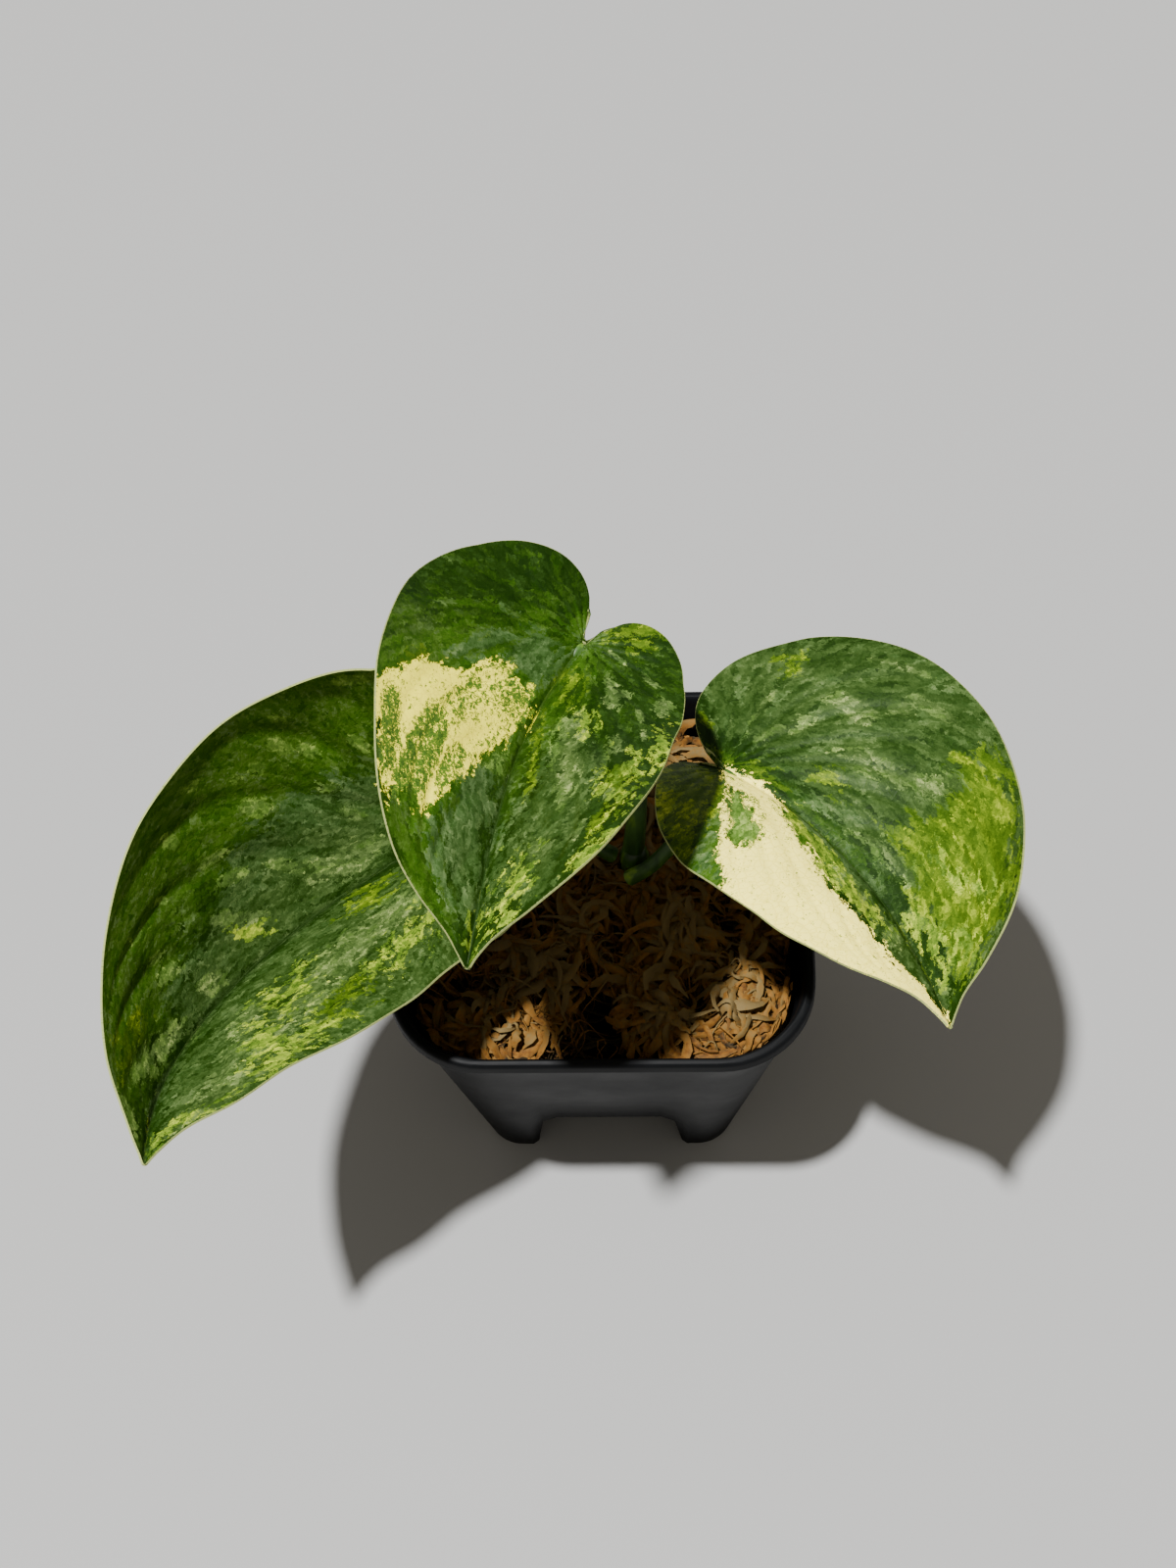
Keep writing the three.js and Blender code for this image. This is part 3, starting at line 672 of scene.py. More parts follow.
def outline_distance(leaf, half, angle):
    """A smooth line through the outline's distances, read at angles in degrees."""
    angles = OUTLINE_ANGLES
    reach = np.array([1 - HEART_CENTRE, *leaf["outline"], HEART_CENTRE])
    reach = reach * (1 + (half["width"] - 1) * np.sin(np.radians(angles)) ** 2)
    slope = np.zeros(len(angles))
    slope[0] = (reach[1] - reach[0]) / (angles[1] - angles[0])
    slope[1:-1] = (reach[2:] - reach[:-2]) / (angles[2:] - angles[:-2])
    k = np.clip(np.searchsorted(angles, angle) - 1, 0, len(angles) - 2)
    width = angles[k + 1] - angles[k]
    t = (angle - angles[k]) / width
    start = (2 * t**3 - 3 * t**2 + 1) * reach[k] + (t**3 - 2 * t**2 + t) * width * slope[k]
    end = (3 * t**2 - 2 * t**3) * reach[k + 1] + (t**3 - t**2) * width * slope[k + 1]
    return start + end


def midrib(leaf, x):
    """The place and the directions of the midrib, at distances x from the joint."""
    heading, rise, roll = np.radians([leaf["heading"], leaf["rise"], leaf["roll"]])
    level = np.array([-np.sin(heading), np.cos(heading), 0])
    start = np.array([np.cos(heading) * np.cos(rise), np.sin(heading) * np.cos(rise), np.sin(rise)])
    upright = np.cross(start, level)
    across0 = level * np.cos(roll) + upright * np.sin(roll)
    up0 = upright * np.cos(roll) - level * np.sin(roll)

    def directions(s):
        share = s / leaf["length"]
        droop = leaf["bend"][0] * share + leaf["bend"][1] * share**2
        droop = np.radians(np.where(share > 0, droop, leaf["lobe_bend"] * share))[..., None]
        swing = np.radians(leaf["sweep"] * share)[..., None]
        forward = start * np.cos(droop) - up0 * np.sin(droop)
        along = forward * np.cos(swing) + across0 * np.sin(swing)
        across = across0 * np.cos(swing) - forward * np.sin(swing)
        return along, across, up0 * np.cos(droop) + start * np.sin(droop)

    place = np.zeros(x.shape + (3,)) + np.array(leaf["joint"])
    steps = 32
    for i in range(steps):
        place = place + directions(x * (i + 0.5) / steps)[0] * (x / steps)[..., None]
    return (place, *directions(x))


def blade_point(leaf, sign, x, y):
    """The point of the blade's upper face that is x along the midrib and y out on one half when flat."""
    half = leaf[sign]
    place, _, across, up = midrib(leaf, x)
    share = x / leaf["length"]
    slope = np.radians(mix(*half["fold"], share))
    curl = np.radians(mix(*half["camber"], share)) / (leaf["length"] / 2) + 1e-9
    run = (np.sin(slope) - np.sin(slope - curl * y)) / curl
    rise = (np.cos(slope - curl * y) - np.cos(slope)) / curl
    return place + across * (sign * run)[..., None] + up * rise[..., None]


def vein_label(x, y):
    """Which side vein a point of the flat blade lies on: above zero the share of the midrib where the
    vein leaves it, below zero how far round the joint the vein sets off. Veins arch towards the tip."""
    y = np.maximum(y, 1e-4)
    to_tip = np.hypot(1 - x, y)
    tip_angle = np.degrees(np.arctan2(y, 1 - x))
    lateral = 1 - to_tip / np.maximum(1 - tip_angle / 63, 0.08)
    distance = np.hypot(x, y)
    joint_angle = np.degrees(np.arctan2(y, x))
    basal = -(joint_angle / np.clip(1 - 1.1 * distance**3, 0.25, 1) - 34) / 72
    return mix(basal, lateral, smooth_step(-0.06, 0.06, (lateral + basal) / 2))


def streak_heading(x, y):
    """Which way the marks are drawn out: away from the joint at first, and round towards the tip."""
    return mix(np.arctan2(y, x), -np.arctan2(y, 1 - x), smooth_step(0.15, 0.95, x))


# Marks on the flat blades, in hundredths of the blade's length: x runs from the joint to the tip and y
# is above zero on the left half. An area is a ring of points, and a fleck is a place, its half widths
# along and across, and the direction it lies in, in degrees.
AREAS = {
    # Painted light: on this leaf the fresher, lighter green toward the right half's edge stands in for light
    # on a part that turns away from the key light.
    ("leaf_left", "fresh_and_painted_light"): [
        [(-30, -16), (20, -22), (50, -20), (80, -8), (110, -4), (110, -70), (-30, -70)],
    ],
    ("leaf_left", "cream"): [
        [(-20, -10), (-8, -10), (5, -6), (6, -12), (9, -14), (2, -30), (-2, -42), (-12, -36), (-20, -22)],
    ],
    ("leaf_left", "lime"): [
        [(17, 4), (22, 3), (28, 5), (23, 7.5), (19, 7.5)],
        [(42, 25), (50, 27), (60, 26), (66, 23.5), (60, 21), (50, 21.5), (43, 22)],
        [(76, -10), (84, -13), (92, -9), (85, -8)],
    ],
    ("leaf_left", "sage"): [
        [(66, -0.5), (69, -4.5), (76, -6.5), (84, -8), (88, -7), (83, -3.5), (74, -1.5)],
        [(14, 10), (24, 10), (36, 11.5), (50, 12.5), (62, 13), (74, 14.5), (72, 19), (58, 20), (42, 19.5),
         (30, 20), (18, 18)],
        [(50, 9), (60, 7.5), (72, 8.5), (84, 7), (93, 4), (96, 3), (92, 10), (84, 15), (76, 13), (62, 11.5)],
        [(12, -4), (22, -2), (30, -4.5), (30, -8.5), (20, -9)],
        [(91, -3), (96, -1.5), (98.5, -1), (93, -7), (91, -10)],
        [(-12, 10), (-2, 7), (6, 6), (10, 12), (2, 20), (-8, 20)],
    ],
    ("leaf_left", "grey"): [
        [(0, 0), (40, 1), (70, 0), (66, -8), (50, -12), (42, -19), (30, -22), (12, -20), (2, -10)],
        [(-20, 0), (100, 0), (95, 16), (60, 40), (10, 45), (-20, 30)],
    ],
    ("leaf_left", "pale"): [
        [(20, 20), (30, 22.5), (42, 23.5), (38, 26), (26, 25), (17, 23)],
        [(62, 24), (70, 24), (80, 19.5), (78, 16), (68, 19), (60, 21)],
        [(46, 10), (54, 10), (66, 15), (70, 15), (68, 17), (60, 16.5), (50, 14)],
        [(86, 13), (90, 11), (97, 2.5), (93, 3.5), (88, 9)],
    ],
    ("leaf_middle", "fresh_and_painted_light"): [
        [(-3, 1), (35, 0), (75, -10), (88, -10), (72, -27), (50, -45), (30, -33), (12, -18), (2, -6)],
    ],
    ("leaf_middle", "cream"): [
        [(20.5, -3.5), (25, -1.2), (30, -0.8), (33.5, -4), (42, -6), (50, -9), (60, -12.2), (66, -15.5),
         (72.5, -19), (72.5, -20.5), (69, -23), (70, -25.5), (76, -27), (70, -31.5), (62, -35.5),
         (53, -39), (47, -37.2), (43, -33.5), (36, -29), (33, -23.5), (28, -19), (21, -15.5), (20.5, -10)],
    ],
    ("leaf_middle", "lime"): [
        [(-12.5, 10), (-10, 14.5), (-5.5, 12.5), (-3, 5), (-8, 3.5), (-11.5, 6)],
        [(44, 23.5), (52, 22.5), (60, 23.5), (68, 22.5), (72, 24.5), (64, 27), (56, 29), (46, 28.5)],
        [(36, -30), (40, -31.5), (42.5, -34.5), (38, -33.5)],
        [(10, 1.5), (17, 2), (20, 6), (12, 5)],
    ],
    ("leaf_middle", "sage"): [
        [(20, 10), (27, 6), (36, 7), (42, 9.5), (52, 12), (60, 14), (52, 16), (40, 15), (28, 13)],
        [(8, 11), (16, 13), (20, 17), (12, 18)],
        [(30, 20), (36, 20), (42, 22), (38, 24.5), (32, 23.5)],
        [(10, 26), (16, 26), (20, 28.5), (12, 28.5)],
        [(70, 10), (76, 9.5), (79, 12), (72, 12.5)],
        [(44, -3.5), (50, -2), (50, -7), (44, -6)],
    ],
    ("leaf_middle", "grey"): [
        [(1, -1), (10, -2), (20, -2), (20.5, -16), (15, -17), (9, -13), (5, -7)],
        [(8, -17), (20, -16), (28, -20), (30, -25), (22, -23)],
        [(50, -1.5), (70, -1.5), (90, -2), (84, -9), (76, -16), (66, -14), (52, -9)],
        [(30, 10), (45, 5), (60, 5), (90, 0), (85, 17), (60, 22), (40, 20)],
    ],
    ("leaf_middle", "pale"): [
        [(33, 24), (40, 26), (46, 28), (42, 29), (36, 27)],
        [(52, 24), (57, 23.5), (59, 26.5), (54, 27)],
        [(60, 30), (68, 27.5), (78, 23.5), (80, 22), (72, 27), (62, 31)],
        [(74, 8), (82, 5), (92, 2), (97, 1), (90, 7), (82, 12), (76, 10)],
        [(20, 31.5), (30, 31), (45, 32.5), (34, 33)],
        [(22, 10), (27, 9.5), (30, 12), (24, 11.5)],
    ],
    ("leaf_right", "fresh_and_painted_light"): [
        [(6, 0), (45, 0), (50, -50), (20, -50), (10, -30)],
    ],
    ("leaf_right", "cream"): [
        [(1, 0.4), (10, 1.4), (18.5, 0.8), (20, -3), (24, -7.5), (30, -9.5), (36, -10), (42, -12.5),
         (50, -15), (58, -14.5), (66, -11.5), (73, -10.7), (80, -10), (84, -7), (88, -3.5), (92, -1.2),
         (102, 1), (102, -30), (70, -46), (34, -46), (34.5, -40.5), (30, -38.5), (24, -36.5), (19, -32),
         (14, -27), (10.5, -21), (9, -16), (6, -10), (3, -5)],
    ],
    ("leaf_right", "not cream"): [
        [(6, -9), (10, -8), (13.5, -12.5), (17, -13), (20, -17), (24.5, -19), (26, -22.5), (26, -27),
         (22.5, -29.5), (18, -28), (16, -23.5), (12, -21), (10, -17)],
        [(20, -0.5), (23.5, -3), (28, -8.5), (25, -8.5), (21.5, -5)],
        [(30, -3), (35, -9), (34.5, -12), (32, -11), (28.5, -6)],
        [(39, -6), (44.5, -11.5), (44, -14.5), (41.5, -13.5), (37, -8)],
    ],
    ("leaf_right", "lime"): [
        # Painted light: the first ring covers the right half's lobe by the joint, which lies in shade, and
        # its lighter yellow green stands in for light there.
        [(-13, -10), (-3, -5), (2, -6), (10, -20), (12, -36), (16, -45), (0, -42), (-13, -30), (-17, -20)],
        [(42, 13), (50, 8), (66, 6), (84, 5), (93, 5), (82, 24), (70, 36), (56, 44), (46, 46), (42, 38),
         (45, 28)],
        [(-4, 40), (0, 36), (3.5, 38), (3, 42), (-2, 43)],
        [(20, 12.5), (25, 11), (28, 12.5), (24, 14)],
        [(1, 1), (10, 2), (16, 2.5), (8, 6)],
        [(-10, 9), (-13, 13), (-6, 5)],
    ],
    ("leaf_right", "sage"): [
        [(20, 20), (30, 21), (42, 24), (47, 28), (44, 31), (34, 28), (24, 25)],
        [(40, 32), (44, 30), (48, 34), (44, 36)],
        [(66, 2), (74, 3.5), (82, 4.5), (81, 6.5), (68, 6.5)],
        [(85, 1.5), (89, 1), (91, 3), (87, 4.5)],
        [(2, 12), (5, 12), (12, 24), (8, 26)],
        [(36, 5), (50, 6), (60, 9), (50, 11), (40, 10)],
        [(40, -5), (50, -4), (60, -7), (55, -14), (45, -12)],
        [(66, -3), (74, -4), (76, -9), (70, -10)],
        [(8, -10), (14, -11), (23, -17), (27, -24), (23, -30), (18, -28), (10, -18)],
        [(10, 32), (18, 30), (22, 36), (16, 38)],
    ],
    ("leaf_right", "grey"): [
        [(-6, 7), (2, 10), (10, 6), (30, 5), (90, 3), (95, 20), (60, 50), (20, 60), (-20, 40), (-16, 20)],
        [(10, -27), (16, -30), (20, -38), (30, -40), (22, -43), (14, -40)],
        [(20, 0), (95, 0), (85, -8), (60, -15), (40, -10)],
        [(-10, 20), (0, 18), (6, 30), (0, 36), (-8, 34)],
    ],
    ("leaf_right", "pale"): [
        [(54, 15), (62, 17), (70, 20), (76, 24), (66, 23), (56, 19)],
        [(76, 10), (84, 8), (88, 12), (80, 16)],
        [(22, -3), (30, -4), (42, -6), (54, -8), (66, -8.5), (66, -11.5), (56, -14), (46, -13.5),
         (38, -10), (27, -8.5)],
        [(66, 3), (78, 3.5), (86, 3), (84, 6), (74, 7)],
        [(-13, -15), (-10, -20), (-7, -28), (0, -37), (-4, -40), (-12, -30)],
    ],
}
FLECKS = {
    ("leaf_left", "sage"): [
        (25.5, -35, 3.5, 1.4, -50), (24.5, -41.5, 2.2, 1, -45), (31, -32.5, 2.2, 1.2, -40),
        (33.5, -25, 4, 1.5, -35), (46.5, -38.5, 2.2, 1.2, -35), (53, -30.5, 2.8, 1.4, -50),
        (59, -22.2, 2, 0.8, -30), (67.5, -21.5, 2.5, 0.8, -15), (45, -21.5, 3.5, 1, -8),
        (44, -7.5, 4.5, 1.6, -30), (64, -11, 3, 1.2, -10), (65, -15, 2, 0.7, -10), (57, -3.5, 3.5, 1.6, -15),
        (17, -13, 3, 1, -55), (28, -6, 3.5, 1.4, -30), (43, -16, 3.5, 1.2, -12), (20, -30, 3, 1.2, -50),
        (33, -12, 3, 1, -40), (10, -26, 3, 1.2, -60), (6, -43, 4, 2, -25), (19, -20, 3, 1, -45),
        (49, -11.5, 3, 1.2, -20), (36, -33.5, 1.5, 0.8, -40),
    ],
    ("leaf_left", "pale"): [
        (44, -5.5, 3, 1, -25), (23.5, 20, 3, 1, 30), (51, 11.5, 3, 0.7, 15),
    ],
    ("leaf_middle", "sage"): [
        (0, 9, 3, 0.8, 80), (4, 20, 3, 0.8, 60), (20, 23.5, 3, 0.8, 25), (56, 24.5, 3, 1.4, 0),
        (68, 20.5, 4, 0.8, -10), (30, 27, 3, 0.8, 15),
    ],
    ("leaf_middle", "lime"): [
        (30, 1.5, 5, 0.4, 3), (42, 4, 8, 0.8, 8), (62, 28.5, 6, 0.8, -12),
    ],
    ("leaf_right", "sage"): [
        (20, 33, 2, 3, 0), (24, 40, 3, 2, 30), (0, 23, 1, 5, 0), (30, 45, 6, 1.5, 5), (18, 50, 5, 1, 15),
    ],
    ("leaf_right", "pale"): [
        (70, 22, 4, 1.2, 10),
    ],
}
# Where the cream is broken up by green specks: place, half widths, direction and how thickly.
SPECKS = {
    "leaf_left": [
        (-5, -20, 30, 40, 0, 0.1), (-5, -20, 14, 11, 0, 0.24),
    ],
    "leaf_middle": [
        (45, -20, 60, 40, 0, 0.05), (25, -6, 8, 6, 0, 0.3), (30, -13, 18, 5, -25, 0.2),
        (62, -23.5, 16, 4.5, -5, 0.37), (60, -32.5, 10, 3, 15, 0.34), (43, -20, 16, 3.5, -20, 0.24),
        (57, -15, 7, 2.5, -10, 0.3), (40, -7, 14, 2.5, -15, 0.15),
    ],
    "leaf_right": [
        (32, -8.5, 14, 3, -20, 0.22), (56, -12, 12, 2.5, 10, 0.2), (5, -6, 9, 4, -60, 0.1),
        (17, -18, 14, 6, -45, 0.17),
    ],
}
# Depths in a mark are in shares of the blade's length, and no mark counts as deeper than this.
DEEPEST = 0.12
SHARE = 0.01
# A fleck's depth is raised, since it is so much smaller than an area.
FLECK_GAIN = 4
# A band of specks fades out this far beyond its half widths.
SPECK_FADE = 0.35


def depth_in_area(x, y, ring):
    """How deep inside a ring of points each place is, below zero outside it."""
    ring = np.array(ring) * SHARE
    nearest = np.full(x.shape, 9.0)
    inside = np.zeros(x.shape, bool)
    for (x0, y0), (x1, y1) in zip(ring, np.roll(ring, -1, 0)):
        run, rise = x1 - x0, y1 - y0
        t = np.clip(((x - x0) * run + (y - y0) * rise) / (run**2 + rise**2), 0, 1)
        nearest = np.minimum(nearest, np.hypot(x - x0 - t * run, y - y0 - t * rise))
        crosses = ((y0 > y) != (y1 > y)) & (x < x0 + (y - y0) * run / (rise if rise else 1e-9))
        inside ^= crosses
    return np.where(inside, nearest, -nearest)


def share_in_fleck(x, y, fleck):
    """One in the middle of a fleck and zero at its edge. A fleck is a block with rounded corners."""
    cx, cy, rx, ry = np.array(fleck[:4]) * SHARE
    cos, sin = math.cos(math.radians(fleck[4])), math.sin(math.radians(fleck[4]))
    u = ((x - cx) * cos + (y - cy) * sin) / rx
    v = ((y - cy) * cos - (x - cx) * sin) / ry
    return 1 - (np.abs(u) ** 3 + np.abs(v) ** 3) ** (1 / 3)


def depth_of_marks(name, kind, x, y):
    """How deep inside the marks of one kind each place is."""
    depth = np.full(x.shape, -DEEPEST)
    for ring in AREAS.get((name, kind), []):
        depth = np.maximum(depth, depth_in_area(x, y, ring))
    for fleck in FLECKS.get((name, kind), []):
        reach = FLECK_GAIN * min(fleck[2:4]) * SHARE
        depth = np.maximum(depth, reach * share_in_fleck(x, y, fleck))
    for ring in AREAS.get((name, "not " + kind), []):
        depth = np.minimum(depth, -depth_in_area(x, y, ring))
    return np.clip(depth, -DEEPEST, DEEPEST)


def speck_density(name, x, y):
    """How closely small green specks lie on the cream."""
    thick = np.zeros(x.shape)
    for fleck in SPECKS[name]:
        reach = np.clip(share_in_fleck(x, y, fleck) + SPECK_FADE, 0, 1)
        thick = np.maximum(thick, fleck[5] * smooth_step(0, 0.6, reach))
    return thick


# For each half: how far it puffs up between its sunken side veins, how many such veins it has, and how
# much further its marks lean off the midrib, in radians.
PUFFS = {
    "leaf_left": {1: (0.5, 4.0, 0.0), -1: (0.55, 3.6, 0.25)},
    "leaf_middle": {1: (0.3, 5.0, 0.05), -1: (0.28, 5.0, 0.15)},
    "leaf_right": {1: (0.35, 5.5, 0.1), -1: (0.22, 5.0, 0.6)},
}
BLADE_COLUMNS = 190
BLADE_ROWS = 120
# The side veins start this far into the first gap and are this share of a gap wide. The midrib's groove
# and the blade's slow ruffle are in millimetres.
VEIN_START = 0.46
VEIN_WIDTH = 0.17
MIDRIB_DEPTH = 0.22
MIDRIB_WIDTH = 0.8
RUFFLE = 0.25
# The pattern has its own slice of space for each leaf, and for each half of it.
LEAF_SLICE = 30
HALF_SLICE = 7


def make_blade(name, number):
    """A blade: its flat outline bent into place, puffed between its veins, thickened and marked."""
    leaf = LEAVES[name]
    length = leaf["length"]
    blade, along, across = sheet_of(name + "_blade", BLADE_COLUMNS, BLADE_ROWS)
    across = np.where(np.abs(across - 0.5) < 1e-4, 0, across * 2 - 1)
    out = np.abs(across)
    # Rows crowd a little towards the midrib and the edge, where the blade turns most.
    out = mix(out, 0.5 - 0.5 * np.cos(math.pi * out), 0.35)
    x, y, edge = np.zeros(len(out)), np.zeros(len(out)), np.zeros(len(out))
    place = np.zeros((len(out), 3))
    angle = 180 * (1 - along) ** 1.5
    root = along**1.6
    for sign in (1, -1):
        here = across >= 0 if sign > 0 else across < 0
        reach = outline_distance(leaf, leaf[sign], angle[here])
        edge_x = HEART_CENTRE + reach * np.cos(np.radians(angle[here]))
        edge_y = reach * np.sin(np.radians(angle[here]))
        x[here] = mix(root[here], edge_x, out[here])
        y[here] = sign * edge_y * out[here]
        edge[here] = np.hypot(edge_x - root[here], edge_y) * (1 - out[here])
        place[here] = blade_point(leaf, sign, x[here] * length, np.abs(y[here]) * length)
    label = vein_label(x, np.abs(y))
    move_points(blade, placed(place))
    normals = np.empty(len(out) * 3)
    blade.data.vertices.foreach_get("normal", normals)
    normals = normals.reshape(-1, 3)
    relief = np.zeros(len(out))
    for sign in (1, -1):
        puff, veins, _ = PUFFS[name][sign]
        phase = label * veins + VEIN_START
        wave = 1 - np.exp(-(((phase - np.rint(phase)) / VEIN_WIDTH) ** 2))
        hold = smooth_step(0.02, 0.3, out) * smooth_step(0, 0.12, edge) * smooth_step(-0.16, 0.05, x)
        relief = np.where(across * sign > 0, (puff * (wave - 0.6)) * hold, relief)
    relief -= MIDRIB_DEPTH * np.exp(-((y * length / MIDRIB_WIDTH) ** 2)) * smooth_step(0.0, 0.06, x)
    ruffle = np.sin(x * 21 + number) * np.sin(y * 17 + 2 * number) * RUFFLE
    relief += ruffle * smooth_step(0.05, 0.4, out)
    move_points(blade, placed(place) + normals * (relief * SCALE)[:, None])
    cream, lime, sage, grey, pale, fresh_and_painted_light = (
        depth_of_marks(name, kind, x, y) for kind in ("cream", "lime", "sage", "grey", "pale", "fresh_and_painted_light"))
    keep_values(blade, "marks", cream, lime, sage)
    keep_values(blade, "tones", grey, pale, speck_density(name, x, y))
    slices = np.where(across < 0, HALF_SLICE, 0.0) + number * LEAF_SLICE
    keep_values(blade, "flat", x * length, np.abs(y) * length, slices)
    lean = np.where(across < 0, PUFFS[name][-1][2], PUFFS[name][1][2])
    keep_values(blade, "rims", edge * length, streak_heading(x, np.abs(y)) + lean, fresh_and_painted_light)
    merge_points(blade, 2 * SAME_PLACE)
    use_modifier(blade, "SOLIDIFY", thickness=BLADE_THICKNESS * SCALE, offset=-1)
    finish_piece(blade, marbled_leaf(), 60, name)


# The layers that lie over the blade's green, from the lowest up. Each has its mark's name, the gain of
# its depth, the weight of the grain in its border, the border's half width, and its tones from dark to
# light, with a second row of tones where the leaf is young and where painted light brightens the left leaf's
# right half.
YOUNG_AND_PAINTED_LIGHT = ("rims", "Z", 3.0, 0.6, 0.35)
LAYERS = {
    "dull green": (("tones", "X", 10.0, 1.1, 0.04),
                   ("#122505", "#1b3009", "#273b14", "#354920", "#4c5e34"),
                   ("#1f3710", "#2b4518", "#385028", "#496037", "#617448")),
    # The yellow green on the right leaf's lobe by the joint is painted light.
    "yellow green": (("marks", "Y", 12.0, 1.4, 0.03),
                     ("#223a03", "#2e4506", "#3b520a", "#51660f", "#7e8e1a")),
    "sage": (("marks", "Z", 20.0, 1.1, 0.03),
             ("#1e310d", "#2a3d17", "#3a4d23", "#526436", "#7d8a50"),
             ("#2c4a10", "#3c5a1a", "#4e6c26", "#688434", "#8ca24c")),
}
# Half of the grain at a mark's border is above this value.
MIDDLE_GRAIN = 0.87


def marbling(tree):
    """The blade's colour: deep green, greyer and paler greens, yellow green and cream, laid over each
    other in patches whose ragged edges run along the veins. Returns the colour, two of its grains and
    the distance from the net of small veins."""
    flat = add(tree, "ShaderNodeAttribute", attribute_name="flat").outputs["Vector"]

    def total(*terms):
        """A sum of values, each times its own weight."""
        value = 0.0
        for term, weight in terms:
            value = add(tree, "ShaderNodeMath", {0: term, 1: weight, 2: value},
                        operation="MULTIPLY_ADD").outputs[0]
        return value

    def tones(grain, low, high, codes):
        """Evenly spaced tones, from the first where the grain is low to the last where it is high."""
        share = add(tree, "ShaderNodeMapRange", {0: grain, 1: low, 2: high, 3: 0.0, 4: 1.0})
        stops = [(i / (len(codes) - 1), code) for i, code in enumerate(codes)]
        return add(tree, "ShaderNodeValToRGB", {"Fac": share.outputs[0]}, stops=stops).outputs["Color"]

    def layer(below, above, value, low, high, most=1.0):
        """One colour over another: none of it where a value is low, and the most where it is high."""
        share = add(tree, "ShaderNodeMapRange", {0: value, 1: low, 2: high, 3: 0.0, 4: most})
        return add(tree, "ShaderNodeMix", {0: share.outputs[0], 6: below, 7: above},
                   data_type="RGBA").outputs[2]

    def patch(below, above, part, share, gain, weight, softness):
        """One colour over another inside a mark: its depth against the grain, with a narrow border."""
        depth = total((read_value(tree, part, share), gain), (edges, weight))
        middle = MIDDLE_GRAIN * weight
        return layer(below, above, depth, middle - softness, middle + softness)

    def cells_of(along, across):
        """Three random values for each cell of a pattern that is drawn out along the veins."""
        size = add(tree, "ShaderNodeVectorMath", {0: lain, 1: (along, across, 1)}, operation="MULTIPLY")
        cells = add(tree, "ShaderNodeTexVoronoi", {"Vector": size.outputs[0], "Scale": 1.0})
        return add(tree, "ShaderNodeSeparateColor", {"Color": cells.outputs["Color"]}).outputs

    # The pattern is turned to the veins' direction in steps, with jagged borders between the steps.
    drift = add(tree, "ShaderNodeTexNoise", {"Vector": flat, "Scale": 0.3, "Detail": 3.0, "Roughness": 0.7})
    turn = total((read_value(tree, "rims", "Y"), -1.0), (drift.outputs["Fac"], 0.9))
    turn = add(tree, "ShaderNodeMath", {0: turn, 1: 0.3}, operation="SNAP").outputs[0]
    ragged = add(tree, "ShaderNodeTexNoise", {"Vector": flat, "Scale": 0.9, "Detail": 5.0, "Roughness": 0.75})
    bent = add(tree, "ShaderNodeVectorMath", {0: ragged.outputs["Color"], 1: (2.6, 2.6, 0), 2: flat},
               operation="MULTIPLY_ADD").outputs[0]
    lain = add(tree, "ShaderNodeVectorRotate", {"Vector": bent, "Angle": turn},
               rotation_type="Z_AXIS").outputs[0]
    # Blocks are about 6 by 2 mm, 2.4 by 0.8 mm and 0.8 by 0.4 mm, and streaks 3.5 by 0.5 mm.
    large = cells_of(0.17, 0.48)
    small = cells_of(0.42, 1.3)
    crumbs = cells_of(1.3, 2.6)
    drawn = add(tree, "ShaderNodeVectorMath", {0: lain, 1: (0.28, 1.9, 1)}, operation="MULTIPLY").outputs[0]
    streak = add(tree, "ShaderNodeTexNoise",
                 {"Vector": drawn, "Scale": 1.0, "Detail": 6.0, "Roughness": 0.72}).outputs["Fac"]
    fine = add(tree, "ShaderNodeTexNoise",
               {"Vector": flat, "Scale": 3.2, "Detail": 3.0, "Roughness": 0.75}).outputs["Fac"]
    # The net of small veins has meshes about 1.6 mm wide.
    net = add(tree, "ShaderNodeTexVoronoi", {"Vector": flat, "Scale": 0.62},
              feature="DISTANCE_TO_EDGE").outputs[0]
    edges = total((large[0], 0.46), (small[0], 0.42), (crumbs[0], 0.24), (streak, 0.36), (fine, 0.26))
    mottle = total((large[1], 0.26), (small[1], 0.38), (crumbs[1], 0.26), (streak, 0.6), (fine, 0.45))

    # The green itself is deep, and fresher where the leaf is young; the same fresher green is painted light
    # toward the edge of the left leaf's right half, which turns away from the key light.
    colour = tones(mottle, 0.6, 1.35, ("#0a1e00", "#0e2301", "#132703", "#192f08", "#263c12"))
    fresh_and_painted_light = tones(mottle, 0.6, 1.35, ("#1e3e03", "#2b4d07", "#38580d", "#496423", "#5e7640"))
    colour = patch(colour, fresh_and_painted_light, *YOUNG_AND_PAINTED_LIGHT)
    for place, codes, *young_and_painted_light in LAYERS.values():
        above = tones(mottle, 0.6, 1.35, codes)
        if young_and_painted_light:
            above = patch(above, tones(mottle, 0.6, 1.35, young_and_painted_light[0]), *YOUNG_AND_PAINTED_LIGHT)
        colour = patch(colour, above, *place)
    pale = tones(mottle, 0.6, 1.3, ("#2a4210", "#445e18", "#6c8222", "#a0ac30"))
    colour = patch(colour, pale, "tones", "Y", 12.0, 1.7, 0.03)
    # The midrib's soft crease is painted darker green: painted shade along the crease.
    colour = layer(colour, linear("#0d1f04"), read_value(tree, "flat", "Y"), 1.1, 0.0, 0.4)
